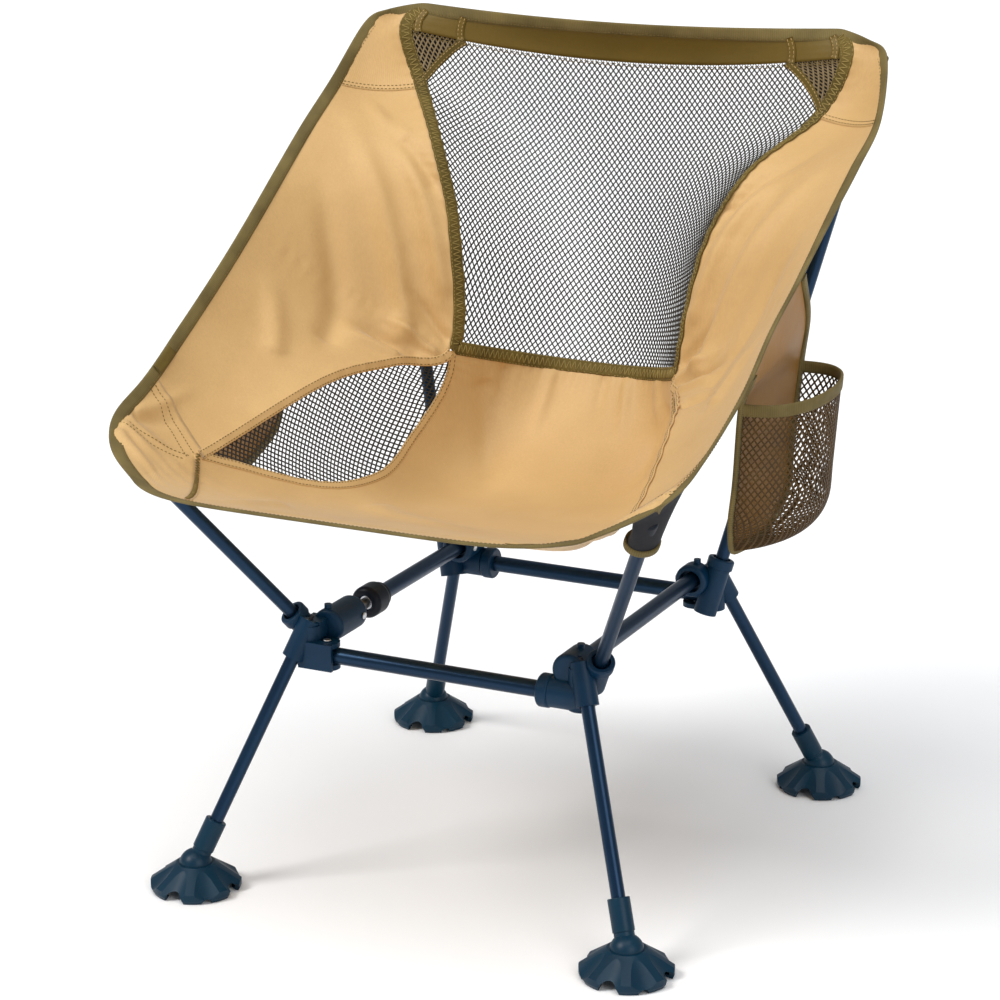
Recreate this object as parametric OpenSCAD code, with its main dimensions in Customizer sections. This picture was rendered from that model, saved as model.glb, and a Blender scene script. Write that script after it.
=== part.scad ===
// Ultralight four-hub backpacking chair: a rectangular tube frame on four splayed legs
// with swivelling feet, and a bucket sling hung on four upper poles.
// Millimetres, +Z up. The origin is on the ground, under the middle of the chair's outline;
// the sitter faces -Y, so "left" in a name is the -X side and "front" the -Y side.
// Shapes are drawn about the middle of the hub rectangle and then moved back by frame_y.

/* [Frame] */
// How far the hub rectangle's middle lies behind the origin
frame_y = 32; // [30:1:34]
// Half the distance between the two side bars
side_bar_x = 109; // [104:0.5:114]
// Half the distance between the front and back bars
cross_bar_y = 135; // [132:0.5:138]
// Height of the front and back bars' axis
cross_bar_z = 190; // [188:0.5:192]
// Height of the side bars' axis
side_bar_z = 209; // [207:0.5:211]
// Outer diameter of the four bars
bar_d = 13.5; // [12.5:0.5:13.5]
// Outer diameter of the legs and upper poles
pole_d = 11; // [10:0.5:11]
// Wall of every tube
tube_wall = 1; // [0.8:0.1:1.4]

/* [Legs and feet] */
// Half the distance between left and right feet
foot_x = 189; // [180:1:200]
// Distance from the middle to the front feet
front_foot_y = 204; // [195:1:215]
// Distance from the middle to the back feet
back_foot_y = 217; // [205:1:225]
// Widest radius of a foot
foot_r = 36.5; // [34:0.5:38]
// Radius of the ball that each foot turns on
ball_r = 13.5; // [13:0.5:14]
// Number of ridges round a foot
foot_ridges = 8; // [6:2:10]

/* [Sling] */
// Thickness of the cloth panels
cloth_t = 1.2; // [1:0.1:1.6]
// Thickness of the mesh panels
mesh_t = 1; // [0.8:0.1:1.4]
// Radius of the bound edge
binding_r = 2.4; // [2:0.1:2.8]
// How far the wings belly outwards
wing_belly = 7; // [0:1:12]
// Number of facets from seam to seam
sling_facets = 18; // [12:2:20]

/* [Hidden] */
$fn = 48;

// Colours
hub_colour = [0.05, 0.17, 0.28];
tube_colour = [0.04, 0.16, 0.30];
foot_colour = [0.05, 0.20, 0.27];
knob_colour = [0.03, 0.03, 0.04];
metal_colour = [0.75, 0.76, 0.78];
cord_colour = [0.15, 0.15, 0.16];
cloth_colour = [0.80, 0.64, 0.38];
trim_colour = [0.45, 0.38, 0.20];
mesh_colour = [0.20, 0.20, 0.18];
pocket_mesh_colour = [0.42, 0.33, 0.16];

// Fits
slide_gap = 0.05;
bar_r = bar_d / 2;
bar_bore_r = bar_r + slide_gap;
pole_r = pole_d / 2;
pole_bore_r = pole_r + slide_gap;
tube_bore_r = pole_r - tube_wall;
cord_r = 1.5;

// Key points, given for the corner at +X +Y and mirrored to the others
ball_z = 20;
leg_top = [119, cross_bar_y, 214];
front_pole_base = [123, 119, 198];
back_pole_base = [123, 121, 198];
front_pole_tip = [215, 234, 368];
back_pole_tip = [226, 207, 640];

function unit(v) = v / norm(v);
function mix(a, b, t) = a + (b - a) * t;
function steps(n) = [for (i = [0 : n]) i / n];
function ball_centre(back) = [foot_x, back ? back_foot_y : front_foot_y, ball_z];
function leg_dir(back) = unit(ball_centre(back) - leg_top);
function pole_base(back) = back ? back_pole_base : front_pole_base;
function pole_tip(back) = back ? back_pole_tip : front_pole_tip;
function pole_dir(back) = unit(pole_tip(back) - pole_base(back));
function on_leg(back, s) = leg_top + leg_dir(back) * s;
function on_pole(back, s) = pole_base(back) + pole_dir(back) * s;
function leg_length(back) = norm(ball_centre(back) - leg_top);
function pole_length(back) = norm(pole_tip(back) - pole_base(back));

// Moves a finished piece from the hub rectangle's middle to the chair's own origin
module placed() {
  translate([0, frame_y, 0])
    children();
}

// Puts a +X +Y corner's shape at the named corner
module at_corner(right, back) {
  mirror([right ? 0 : 1, 0, 0])
    mirror([0, back ? 0 : 1, 0])
      children();
}

// Lays a shape drawn along +Z so that it starts at p and points to q
module aim(p, q) {
  d = q - p;
  translate(p)
    rotate([0, acos(d.z / norm(d)), atan2(d.y, d.x)])
      children();
}

module rod(p, q, r) {
  aim(p, q)
    cylinder(h = norm(q - p), r = r);
}

module tube(p, q, r, bore) {
  difference() {
    rod(p, q, r);
    rod(p - unit(q - p), q + unit(q - p), bore);
  }
}

// A cylinder with rounded rims, along +Z
module rounded_rod(h, r, round_r) {
  rotate_extrude()
    union() {
      square([r - round_r, h]);
      translate([0, round_r])
        square([r, h - 2 * round_r]);
      for (z = [round_r, h - round_r])
        translate([r - round_r, z])
          circle(r = round_r, $fn = 24);
    }
}

// ---- Hubs ----

plug_socket_r = 12.5;
hub_barrel_r = 13.8;
barrel_mouth_y = 106;
lock_mouth_y = 80;
cup_bore_r = 9.6;
cup_depth = 8;
sleeve_r = 9;
leg_sleeve_low = 31;
pole_sleeve_high = 30;
pole_sleeve_r = 9.6;
pole_mouth_r = 7.6;
pole_mouth_depth = 5;
bar_end_x = 112;
hinge_x = 103;
ear_t = 4;
ear_r = 10.5;
pin_r = 2;
plug_mouth_x = 95;
insert_r = 4.5;
insert_bore_r = insert_r + slide_gap;
cord_hole_r = 2.2;
boss_r = 3;

// Where a side bar's barrel ends, and where the bar is seated in it; a barrel stops short of a hinge
function barrel_back_y(hinged) = cross_bar_y + (hinged ? -11 : 4);
function bar_seat_y(hinged) = cross_bar_y - (hinged ? 15 : 8);

// The barrel that a side bar plugs into, along Y
module side_barrel(mouth_y, hinged) {
  translate([side_bar_x, mouth_y, side_bar_z])
    rotate([-90, 0, 0])
      rounded_rod(barrel_back_y(hinged) - mouth_y, hub_barrel_r, 3.5);
}

// Upright core and block that tie the hub's sockets together
module hub_core() {
  translate([leg_top.x, cross_bar_y - 1, cross_bar_z - 11])
    cylinder(h = 34, r = 10.5);
  translate([leg_top.x - 10.5, cross_bar_y - 19, cross_bar_z + 12])
    cube([17, 20, 14]);
}

// Channel with two ears, in which a cross bar swings on an upright pin
module hinge_channel() {
  gap = bar_bore_r + 0.25;
  for (z = [cross_bar_z - gap - ear_t, cross_bar_z + gap]) {
    translate([hinge_x, cross_bar_y, z])
      cylinder(h = ear_t, r = ear_r);
    translate([hinge_x, cross_bar_y - ear_r, z])
      cube([leg_top.x - hinge_x, 2 * ear_r, ear_t]);
  }
  translate([hinge_x - 9, cross_bar_y + bar_r + 0.6, cross_bar_z - gap - ear_t])
    cube([leg_top.x - hinge_x + 14, ear_r - bar_r - 0.6, 2 * gap + 2 * ear_t]);
  translate([bar_end_x + 1, cross_bar_y - ear_r, cross_bar_z - gap - ear_t])
    cube([8, 2 * ear_r, 2 * gap + 2 * ear_t]);
}

// Plain round socket, into which the other end of a cross bar plugs
module plug_socket() {
  translate([plug_mouth_x, cross_bar_y, cross_bar_z])
    rotate([0, 90, 0])
      cylinder(h = leg_top.x - plug_mouth_x + 4, r = plug_socket_r);
}

module hub(right, back) {
  hinged = right == back;
  locked = !right && !back;
  mouth_y = locked ? lock_mouth_y : barrel_mouth_y;
  sleeve_low = on_leg(back, leg_sleeve_low);
  pole_low = on_pole(back, back ? -19 : -7);
  pole_high = on_pole(back, pole_sleeve_high);
  at_corner(right, back)
    difference() {
      union() {
        side_barrel(mouth_y, hinged);
        hub_core();
        rod(on_leg(back, -3), sleeve_low, sleeve_r);
        rod(pole_low, pole_high, pole_sleeve_r);
        aim(on_pole(back, pole_sleeve_high - 9), pole_high)
          rounded_rod(9, pole_sleeve_r + 1.6, 1.5);
        translate([leg_top.x - 8, cross_bar_y - 17, side_bar_z + 8])
          cylinder(h = 9, r = boss_r);
        if (hinged) hinge_channel();
        else plug_socket();
      }
      // leg socket and the cord hole above it
      rod(leg_top, on_leg(back, 60), pole_bore_r);
      rod(on_leg(back, -8), on_leg(back, 1), cord_hole_r);
      // pole socket with its flared mouth
      rod(pole_base(back), on_pole(back, 60), pole_bore_r);
      rod(on_pole(back, pole_sleeve_high - pole_mouth_depth), on_pole(back, 60), pole_mouth_r);
      // side bar socket
      if (locked) {
        rod([side_bar_x, mouth_y - 1, side_bar_z], [side_bar_x, mouth_y + 20, side_bar_z], insert_bore_r);
      } else {
        rod([side_bar_x, mouth_y - 1, side_bar_z], [side_bar_x, bar_seat_y(hinged), side_bar_z], bar_bore_r);
        rod([side_bar_x, mouth_y - 1, side_bar_z], [side_bar_x, mouth_y + cup_depth, side_bar_z], cup_bore_r);
      }
      // cross bar socket or pin holes
      if (hinged) {
        translate([hinge_x, cross_bar_y, cross_bar_z - 20])
          cylinder(h = 32.5, r = pin_r);
      }
      rod([80, cross_bar_y, cross_bar_z], [bar_end_x + 0.5, cross_bar_y, cross_bar_z], bar_bore_r);
      // rivet seat on the inner face of the side barrel
      rod(rivet_point(mouth_y), rivet_point(mouth_y) - [5, 0, 0], rivet_r);
    }
}

rivet_r = 1.6;
function rivet_point(mouth_y) = [side_bar_x - hub_barrel_r + 2.6, mouth_y + 8, side_bar_z];

module rivet(mouth_y) {
  rod(rivet_point(mouth_y), rivet_point(mouth_y) - [2.7, 0, 0], rivet_r);
  translate(rivet_point(mouth_y) - [2.7, 0, 0])
    rotate([0, -90, 0])
      rounded_rod(1.4, 2.8, 0.6);
}

// ---- Bars ----

pin_low_z = cross_bar_z - bar_bore_r - ear_t - 1;
pin_head_z = cross_bar_z + bar_bore_r + 0.25 + ear_t;
bar_bore = bar_r - tube_wall;
lock_bar_y = -58;

// The cross bar's own frame has its hinged end at -X; the back bar is turned half round
module cross_bar() {
  difference() {
    tube([-bar_end_x, -cross_bar_y, cross_bar_z], [bar_end_x, -cross_bar_y, cross_bar_z], bar_r, bar_bore);
    translate([-hinge_x, -cross_bar_y, cross_bar_z - 20])
      cylinder(h = 40, r = pin_r + slide_gap);
  }
}

module hinge_pin() {
  translate([-hinge_x, -cross_bar_y, pin_low_z])
    cylinder(h = pin_head_z - pin_low_z, r = pin_r);
  translate([-hinge_x, -cross_bar_y, pin_head_z])
    rounded_rod(1.6, 3.4, 0.7);
}

module cross_bar_collar() {
  difference() {
    translate([plug_mouth_x - 10.2, -cross_bar_y, cross_bar_z])
      rotate([0, 90, 0])
        rounded_rod(10, plug_socket_r + 0.9, 2);
    rod([plug_mouth_x - 20, -cross_bar_y, cross_bar_z], [plug_mouth_x, -cross_bar_y, cross_bar_z], bar_bore_r);
  }
}

module half_turn() {
  rotate([0, 0, 180])
    children();
}

module right_side_bar() {
  front_end = -bar_seat_y(false) + 0.5;
  back_end = bar_seat_y(true) - 0.5;
  tube([side_bar_x, front_end, side_bar_z], [side_bar_x, back_end, side_bar_z], bar_r, bar_bore);
}

module left_side_bar() {
  back_end = bar_seat_y(false) - 0.5;
  tube([-side_bar_x, lock_bar_y, side_bar_z], [-side_bar_x, back_end, side_bar_z], bar_r, bar_bore);
}

module bar_insert() {
  rod([-side_bar_x, -lock_mouth_y - 18, side_bar_z], [-side_bar_x, lock_bar_y, side_bar_z], insert_r);
  rod([-side_bar_x, lock_bar_y, side_bar_z], [-side_bar_x, lock_bar_y + 30, side_bar_z], bar_bore - slide_gap);
}

// Sliding knob over the end of the left bar, with a slimmer tail
module lock_knob() {
  knob_r = 13.5;
  knob_h = 23;
  tail_r = 11;
  tail_h = 4;
  translate([-side_bar_x, lock_bar_y - 3, side_bar_z])
    rotate([-90, 0, 0])
      difference() {
        union() {
          rounded_rod(knob_h, knob_r, 5);
          translate([0, 0, knob_h - 6])
            rounded_rod(tail_h + 6, tail_r, 1);
        }
        translate([0, 0, -1])
          cylinder(h = knob_h + tail_h + 2, r = bar_bore_r);
      }
}

// ---- Legs, cords and feet ----

sleeve_bottom = 8;
leg_end_gap = 16;
ball_sleeve_h = 40;
ball_sleeve_r = 8.7;
neck_r = 8;

module leg(right, back) {
  at_corner(right, back)
    tube(on_leg(back, 0.3), on_leg(back, leg_length(back) - leg_end_gap), pole_r, tube_bore_r);
}

// Shock cord from the hub down the inside of the leg
module leg_cord(right, back) {
  at_corner(right, back)
    rod(on_leg(back, -7), on_leg(back, leg_length(back) - 70), cord_r);
}

// Moulded sleeve on the leg's lower end, with the ball that the foot turns on
module ball_sleeve(right, back) {
  low = on_leg(back, leg_length(back) - 3);
  at_corner(right, back)
    difference() {
      union() {
        translate(ball_centre(back))
          sphere(r = ball_r);
        rod(low, on_leg(back, leg_length(back) - 15), neck_r);
        aim(on_leg(back, leg_length(back) - 14), leg_top)
          rounded_rod(ball_sleeve_h - 14, ball_sleeve_r, 0.8);
      }
      rod(on_leg(back, leg_length(back) - leg_end_gap + 0.3), leg_top, pole_bore_r);
      translate(ball_centre(back) - [0, 0, ball_r + 10])
        cylinder(h = 14, r = ball_r);
    }
}

ring_r = 16.2;
ring_z = 22.5;
rim_z = 8;
foot_wall = 4;
flute_r = 26;
flute_tilt = 7;
arch_r = 8.5;
small_arch_r = 4;
socket_r = ball_r + 0.1;

// Round shell of the foot before it is fluted: boss with the ball seat, and sloping skirt
module foot_blank() {
  rotate_extrude($fn = 96)
    polygon([
      [0, 5], [9, 5], [foot_r - foot_wall - 7, 5], [foot_r - foot_wall, 0], [foot_r - 1.5, 0],
      [foot_r, 3], [foot_r, rim_z], [ring_r + 1, ring_z - 1.2], [ring_r - 0.6, ring_z], [0, ring_z]
    ]);
}

module foot(right, back) {
  slope = atan2(ring_z - rim_z, foot_r - ring_r);
  pitch = 360 / foot_ridges;
  at_corner(right, back)
    translate([ball_centre(back).x, ball_centre(back).y, 0])
      difference() {
        foot_blank();
        // ball seat
        translate([0, 0, ball_z])
          sphere(r = socket_r, $fn = 96);
        // hollow underside
        rotate_extrude($fn = 96)
          polygon([[ring_r + 1, 2.5], [foot_r - foot_wall, 2.5], [foot_r - foot_wall, rim_z - 2.5], [ring_r + 1, ring_z - 8]]);
        // flutes between the ridges, deepest at the rim
        for (i = [0 : foot_ridges - 1])
          rotate([0, 0, i * pitch])
            translate([ring_r + 1.5 + sin(slope) * flute_r, 0, ring_z - 1.2 + cos(slope) * flute_r])
              rotate([0, 90 + slope + flute_tilt, 0])
                translate([0, 0, -20])
                  cylinder(h = 60, r = flute_r, $fn = 96);
        // arches in the rim, large and small by turns
        for (i = [0 : foot_ridges - 1])
          rotate([0, 0, i * pitch])
            translate([ring_r + 4, 0, 0])
              rotate([0, 90, 0])
                cylinder(h = foot_r, r = i % 2 == 0 ? arch_r : small_arch_r);
      }
}

// ---- Upper poles ----

cap_r = 6.9;
cap_h = 26;
cap_grip = 20;
joint_s = 235;
ferrule_half = 32;

module front_pole(right) {
  at_corner(right, false)
    tube(on_pole(false, 0.3), on_pole(false, pole_length(false) - 3), pole_r, tube_bore_r);
}

module back_pole_lower(right) {
  at_corner(right, true)
    tube(on_pole(true, 0.3), on_pole(true, joint_s - 0.2), pole_r, tube_bore_r);
}

module back_pole_upper(right) {
  at_corner(right, true)
    tube(on_pole(true, joint_s + 0.2), on_pole(true, pole_length(true) - 3), pole_r, tube_bore_r);
}

module pole_ferrule(right) {
  at_corner(right, true)
    tube(on_pole(true, joint_s - ferrule_half), on_pole(true, joint_s + ferrule_half),
         tube_bore_r - slide_gap, tube_bore_r - slide_gap - tube_wall);
}

module pole_cap(right, back) {
  full = pole_length(back);
  at_corner(right, back)
    difference() {
      aim(on_pole(back, full + 4 - cap_h), on_pole(back, full + 4))
        rounded_rod(cap_h, cap_r, 2.5);
      rod(on_pole(back, full - 40), on_pole(back, full - 2.5), pole_bore_r);
    }
}

// ---- Sling surface ----
// Three lines run from the top edge (row 0) over the back and the seat to the front edge (row 9):
// the middle of the sling, the seam between the middle and a wing, and the wing's outer edge.

SPINE = [
  [0, 200, 655], [0, 214, 622], [0, 211, 566], [0, 203, 505], [0, 190, 440],
  [0, 165, 367], [0, 70, 292], [0, -50, 287], [0, -180, 320], [0, -316, 362]
];
SEAM = [
  [190, 212, 660], [204, 198, 641], [184, 188, 594], [142, 136, 552], [114, 110, 490],
  [102, 86, 393], [128, 28, 392], [154, -45, 389], [184, -190, 359], [182, -283, 363]
];
EDGE = [
  [218, 200, 656], [236, 192, 644], [247, 150, 600], [247, 100, 570], [245, 55, 543],
  [242, -10, 503], [240, -60, 474], [241, -118, 439], [238, -185, 407], [239, -251, 387]
];
last_row = len(SPINE) - 1;
band_row = 1;
patch_row = 2;
fold_row = 5;
tip_row = 8;
// Inner edge of a seat mesh, as a share of the way from the middle to the seam, from fold_row to tip_row
LEAF = [1, 0.9, 0.85, 0.77, 0.8, 1];
// How far the outer corners are rounded, as a share of their patches
front_rounding = 0.2;
back_rounding = 0.15;

function curve(a, b, c, d, t) =
  0.5 * (2 * b + (c - a) * t + (2 * a - 5 * b + 4 * c - d) * t * t + (3 * b - a - 3 * c + d) * t * t * t);

// Smooth line through a list of points, at step s
function along(points, s) =
  let (
    n = len(points),
    i = min(max(floor(s), 0), n - 2),
    b = points[i],
    c = points[i + 1],
    a = i > 0 ? points[i - 1] : 2 * b - c,
    d = i < n - 2 ? points[i + 2] : 2 * c - b
  )
  curve(a, b, c, d, s - i);

function smooth(t) = let (k = min(max(t, 0), 1)) k * k * (3 - 2 * k);

// How square the bucket's cross-section is: 2 is a parabola, more has a flat floor and steep walls
function fullness(v) = 2 + 4 * smooth((v - 4.6) / 1.6);

// Half of the sling: u runs from 0 in the middle to 1 at the seam and 2 at the outer edge
function half_sling(u, v) =
  let (seam = along(SEAM, v), spine = along(SPINE, v))
  u <= 1
    ? let (k = pow(u, fullness(v)))
      [seam.x * u, mix(spine.y, seam.y, k), mix(spine.z, seam.z, k)]
    : let (
        edge = along(EDGE, v),
        run = along(SEAM, v + 0.2) - along(SEAM, v - 0.2),
        outward = unit(cross(edge - seam, run)),
        fade = smooth(v / 2) * smooth((last_row - v) / 1.5)
      )
      mix(seam, edge, u - 1) + outward * wing_belly * fade * 4 * (u - 1) * (2 - u);

// Place on the sling with its outer corners eased: a and b run from 0 to 1 over a corner's patch
function eased(a, b, rounding) = [a - rounding * a * pow(b, 4), b - rounding * b * pow(a, 4)];
function eased_place(u, v) =
  u > 1 && v > tip_row ? let (e = eased(u - 1, v - tip_row, front_rounding)) [1 + e.x, tip_row + e.y]
  : u > 1 && v < band_row ? let (e = eased(u - 1, band_row - v, back_rounding)) [1 + e.x, band_row - e.y]
  : [u, v];

function sling(u, v) =
  let (place = eased_place(abs(u), v), p = half_sling(place.x, place.y))
  u < 0 ? [-p.x, p.y, p.z] : p;

function sling_normal(u, v) =
  let (h = 0.02)
  unit(cross(sling(u + h, v) - sling(u - h, v), sling(u, v + h) - sling(u, v - h)));

// Share of a row that a width in millimetres takes up
function wing_share(v, w) = w / norm(along(EDGE, v) - along(SEAM, v));
function inner_share(v, w) = w / along(SEAM, v).x;
function row_share(u, v, w) = w * 0.1 / norm(sling(u, v + 0.05) - sling(u, v - 0.05));

function leaf_edge(v) = along(LEAF, (v - fold_row) * (len(LEAF) - 1) / (tip_row - fold_row));

seam_gap = 0.4;
tape_gap = 2.2;
edge_gap = 3.5;
patch_gap = 7;
function seam_inset(v) = v < fold_row ? tape_gap : seam_gap;
function outer_u(v) = 2 - wing_share(v, edge_gap);
function patch_outer_u(v) = 2 - wing_share(v, patch_gap);
function wing_u(v, t) = mix(1 + wing_share(v, seam_inset(v)), outer_u(v), t);
function wing_end(t) = tip_row - 0.25 * t;

// Closed solid of thickness t around a grid of points
module sheet(grid, t) {
  rows = len(grid);
  cols = len(grid[0]);
  function across(i, j) = grid[i][min(j + 1, cols - 1)] - grid[i][max(j - 1, 0)];
  function down(i, j) = grid[min(i + 1, rows - 1)][j] - grid[max(i - 1, 0)][j];
  function side(sign) = [
    for (i = [0 : rows - 1])
      for (j = [0 : cols - 1])
        grid[i][j] + unit(cross(across(i, j), down(i, j))) * sign * t / 2
  ];
  far = rows * cols;
  function at(i, j) = i * cols + j;
  function quad(a, b, c, d) = [[a, b, c], [a, c, d]];
  faces = [
    for (i = [0 : rows - 2])
      for (j = [0 : cols - 2])
        each concat(
          quad(at(i, j), at(i + 1, j), at(i + 1, j + 1), at(i, j + 1)),
          quad(far + at(i, j), far + at(i, j + 1), far + at(i + 1, j + 1), far + at(i + 1, j))
        ),
    for (j = [0 : cols - 2])
      each concat(
        quad(at(0, j), at(0, j + 1), far + at(0, j + 1), far + at(0, j)),
        quad(at(rows - 1, j + 1), at(rows - 1, j), far + at(rows - 1, j), far + at(rows - 1, j + 1))
      ),
    for (i = [0 : rows - 2])
      each concat(
        quad(at(i + 1, 0), at(i, 0), far + at(i, 0), far + at(i + 1, 0)),
        quad(at(i, cols - 1), at(i + 1, cols - 1), far + at(i + 1, cols - 1), far + at(i, cols - 1))
      )
  ];
  polyhedron(points = concat(side(1), side(-1)), faces = faces, convexity = 6);
}

// Flattened tube along a path of [u, v] places on the sling
module piping(path, wide, thick, closed) {
  sides = 8;
  n = len(path);
  last = closed ? n : n - 1;
  function place(k) = sling(path[k].x, path[k].y);
  function next(k) = closed ? (k + 1) % n : min(k + 1, n - 1);
  function before(k) = closed ? (k + n - 1) % n : max(k - 1, 0);
  points = [
    for (k = [0 : n - 1])
      let (
        p = place(k),
        dir = unit(place(next(k)) - place(before(k))),
        flat = unit(cross(dir, sling_normal(path[k].x, path[k].y))),
        up = cross(flat, dir)
      )
      for (a = [0 : sides - 1])
        p + flat * wide * cos(a * 360 / sides) + up * thick * sin(a * 360 / sides)
  ];
  function at(k, a) = (k % n) * sides + a % sides;
  walls = [
    for (k = [0 : last - 1])
      for (a = [0 : sides - 1])
        each [[at(k, a), at(k, a + 1), at(k + 1, a + 1)], [at(k, a), at(k + 1, a + 1), at(k + 1, a)]]
  ];
  caps = closed ? [] : concat(
    [for (a = [1 : sides - 2]) [at(0, 0), at(0, a + 1), at(0, a)]],
    [for (a = [1 : sides - 2]) [at(n - 1, 0), at(n - 1, a), at(n - 1, a + 1)]]
  );
  polyhedron(points = points, faces = concat(walls, caps), convexity = 6);
}

module mirrored(right) {
  mirror([right ? 0 : 1, 0, 0])
    children();
}

function span(a, b, n) = [for (k = steps(n)) mix(a, b, k)];

// ---- Sling panels ----

function mesh_side(v) = 1 - inner_share(v, tape_gap);
function corner_cut(v) = mix(0.74, 1, min((v - band_row) / (patch_row - band_row), 1));
function mesh_reach(v) = min(mesh_side(v), corner_cut(v) - inner_share(v, seam_gap));

module back_mesh_panel() {
  sheet([
    for (v = span(band_row + 0.02, fold_row - 0.03, 24))
      [for (k = span(-1, 1, sling_facets)) sling(k * mesh_reach(v), v)]
  ], mesh_t);
}

module corner_mesh(right) {
  mirrored(right)
    sheet([
      for (v = span(band_row + 0.02, patch_row - 0.1, 6))
        [for (k = span(corner_cut(v) + inner_share(v, seam_gap), mesh_side(v), 3)) sling(k, v)]
    ], mesh_t);
}

module top_band_panel() {
  sheet([
    for (r = span(0, 1, 3))
      [for (u = span(-0.985, 0.985, 2 * sling_facets))
        sling(u, mix(row_share(u, 0.05, edge_gap), band_row - 0.02, r))]
  ], cloth_t);
}

module wing(right) {
  mirrored(right)
    sheet([
      for (r = span(0, 1, 30))
        [for (k = span(0, 1, 8))
          let (v = mix(patch_row + 0.01, wing_end(k) - 0.01, r))
          sling(wing_u(v, k), v)]
    ], cloth_t);
}

module seat_mesh(right) {
  mirrored(right)
    sheet([
      for (v = span(fold_row + 0.12, tip_row - 0.04, 18))
        [for (k = span(leaf_edge(v) + inner_share(v, seam_gap), 1 - inner_share(v, seam_gap), 6)) sling(k, v)]
    ], mesh_t);
}

function seat_reach(v) =
  (v <= tip_row ? min(leaf_edge(v), 1) : 1) - inner_share(v, seam_gap);

module seat_panel_cloth() {
  sheet([
    for (r = span(0, 1, 24))
      [for (k = span(-1, 1, sling_facets))
        let (v = mix(fold_row + 0.03, last_row - row_share(k * 0.98, last_row - 0.05, edge_gap), r))
        sling(k * seat_reach(v), v)]
  ], cloth_t);
}

// ---- Corner pockets ----

pouch_bore_r = cap_r + 0.5;
pouch_r = pouch_bore_r + 1.3;

// Closed cup of webbing that holds a pole's cap, with anything that is joined to its wall
module pouch(back, low, high) {
  full = pole_length(back);
  difference() {
    union() {
      aim(on_pole(back, full - low), pole_tip(back) + pole_dir(back) * high)
        rounded_rod(low + high, pouch_r, 1);
      children();
    }
    rod(on_pole(back, full - low - 5), pole_tip(back) + pole_dir(back) * (high - 1.5), pouch_bore_r);
  }
}

// Short web of cloth between a pouch's wall and the patch in front of it
module pouch_tab(p, q) {
  tab_r = 4;
  rod(p + unit(q - p) * (pouch_bore_r + 0.4), q, tab_r);
}

// Reinforced front corner: the patch on top and the pouch below it
module front_corner_pocket(right) {
  mirrored(right)
    sheet([
      for (r = span(0, 1, 8))
        [for (k = span(0, 1, 6))
          let (
            u = mix(1 + wing_share(tip_row, seam_gap), patch_outer_u(tip_row), k),
            v = mix(wing_end(k) + 0.01, last_row - row_share(u, last_row - 0.05, patch_gap), r)
          )
          sling(mix(1 + wing_share(v, seam_gap), patch_outer_u(v), k), v)]
    ], cloth_t);
  at_corner(right, false)
    pouch(false, 36, 6);
}

// Reinforced back corner: the patch at the top of the wing and the pouch behind it
module back_corner_pocket(right) {
  mirrored(right)
    sheet([
      for (r = span(0, 1, 10))
        [for (k = span(0, 1, 6))
          let (v = mix(0.3, patch_row - 0.01, r))
          sling(mix(1 + wing_share(v, tape_gap), patch_outer_u(v), k), v)]
    ], cloth_t);
  at_corner(right, true)
    pouch(true, 44, 6)
      for (tab = [[18, 1.5, 1.3], [32, 1.5, 1.75]])
        pouch_tab(on_pole(true, pole_length(true) - tab[0]), sling(tab[1], tab[2]));
}

// ---- Trim ----

module sling_binding() {
  piping(concat(
    [for (u = span(-2, 2, 48)) [u, 0]],
    [for (v = span(0.2, last_row, 44)) [2, v]],
    [for (u = span(1.92, -2, 48)) [u, last_row]],
    [for (v = span(last_row - 0.2, 0.2, 43)) [-2, v]]
  ), binding_r, binding_r * 0.7, true);
}

module mesh_tape() {
  piping(concat(
    [for (v = span(band_row + 0.05, fold_row - 0.04, 26)) [-1, v]],
    [for (u = span(-0.97, 0.97, 22)) [u, fold_row]],
    [for (v = span(fold_row - 0.04, band_row + 0.05, 26)) [1, v]]
  ), 1.7, 1.3, false);
}

// Folded loop of tape stitched to the left wing's edge
module edge_loop() {
  loop_lift = 2.6;
  sheet([
    for (v = span(7.36, 7.62, 3))
      [for (k = span(-1.93, -1.99, 3)) sling(k, v) - sling_normal(k, v) * loop_lift]
  ], 1);
}

// ---- Side pockets ----

// Front and rear edge of the flap, from its bottom to where it is sewn under the wing
FLAP_FRONT = [
  [228, -106, 313], [228, -109, 336], [228, -101, 365], [228, -92, 421], [235, -96, 435], [240, -100, 447]
];
FLAP_REAR = [
  [228, -38, 308], [228, 10, 330], [228, 17, 364], [228, 34, 427], [236, 24, 466], [242, -5, 504]
];
flap_rows = len(FLAP_FRONT) - 1;
rim_row = 3;
pocket_bulge = 46;

module pocket_flap(right) {
  mirrored(right)
    sheet([
      for (s = span(0, flap_rows, 15))
        [for (k = span(0, 1, 6)) mix(along(FLAP_FRONT, s), along(FLAP_REAR, s), k)]
    ], cloth_t);
}

// The pouch stands off the flap by a few millimetres and closes at its bottom seam
module side_pocket(right) {
  mirrored(right)
    sheet([
      for (s = span(0.02, rim_row, 15))
        let (
          front = along(FLAP_FRONT, s) + [1.4, 0, 0],
          rear = along(FLAP_REAR, s) + [1.4, 0, 0],
          bulge = pocket_bulge * pow(1 - pow(1 - s / rim_row, 6), 0.5)
        )
        [for (a = span(0, 180, 16))
          mix(front, rear, (1 - cos(a)) / 2) + [1, 0.12, 0] * (0.6 + bulge * pow(sin(a), 0.65))]
    ], mesh_t);
}

// ---- Nodes ----

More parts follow.
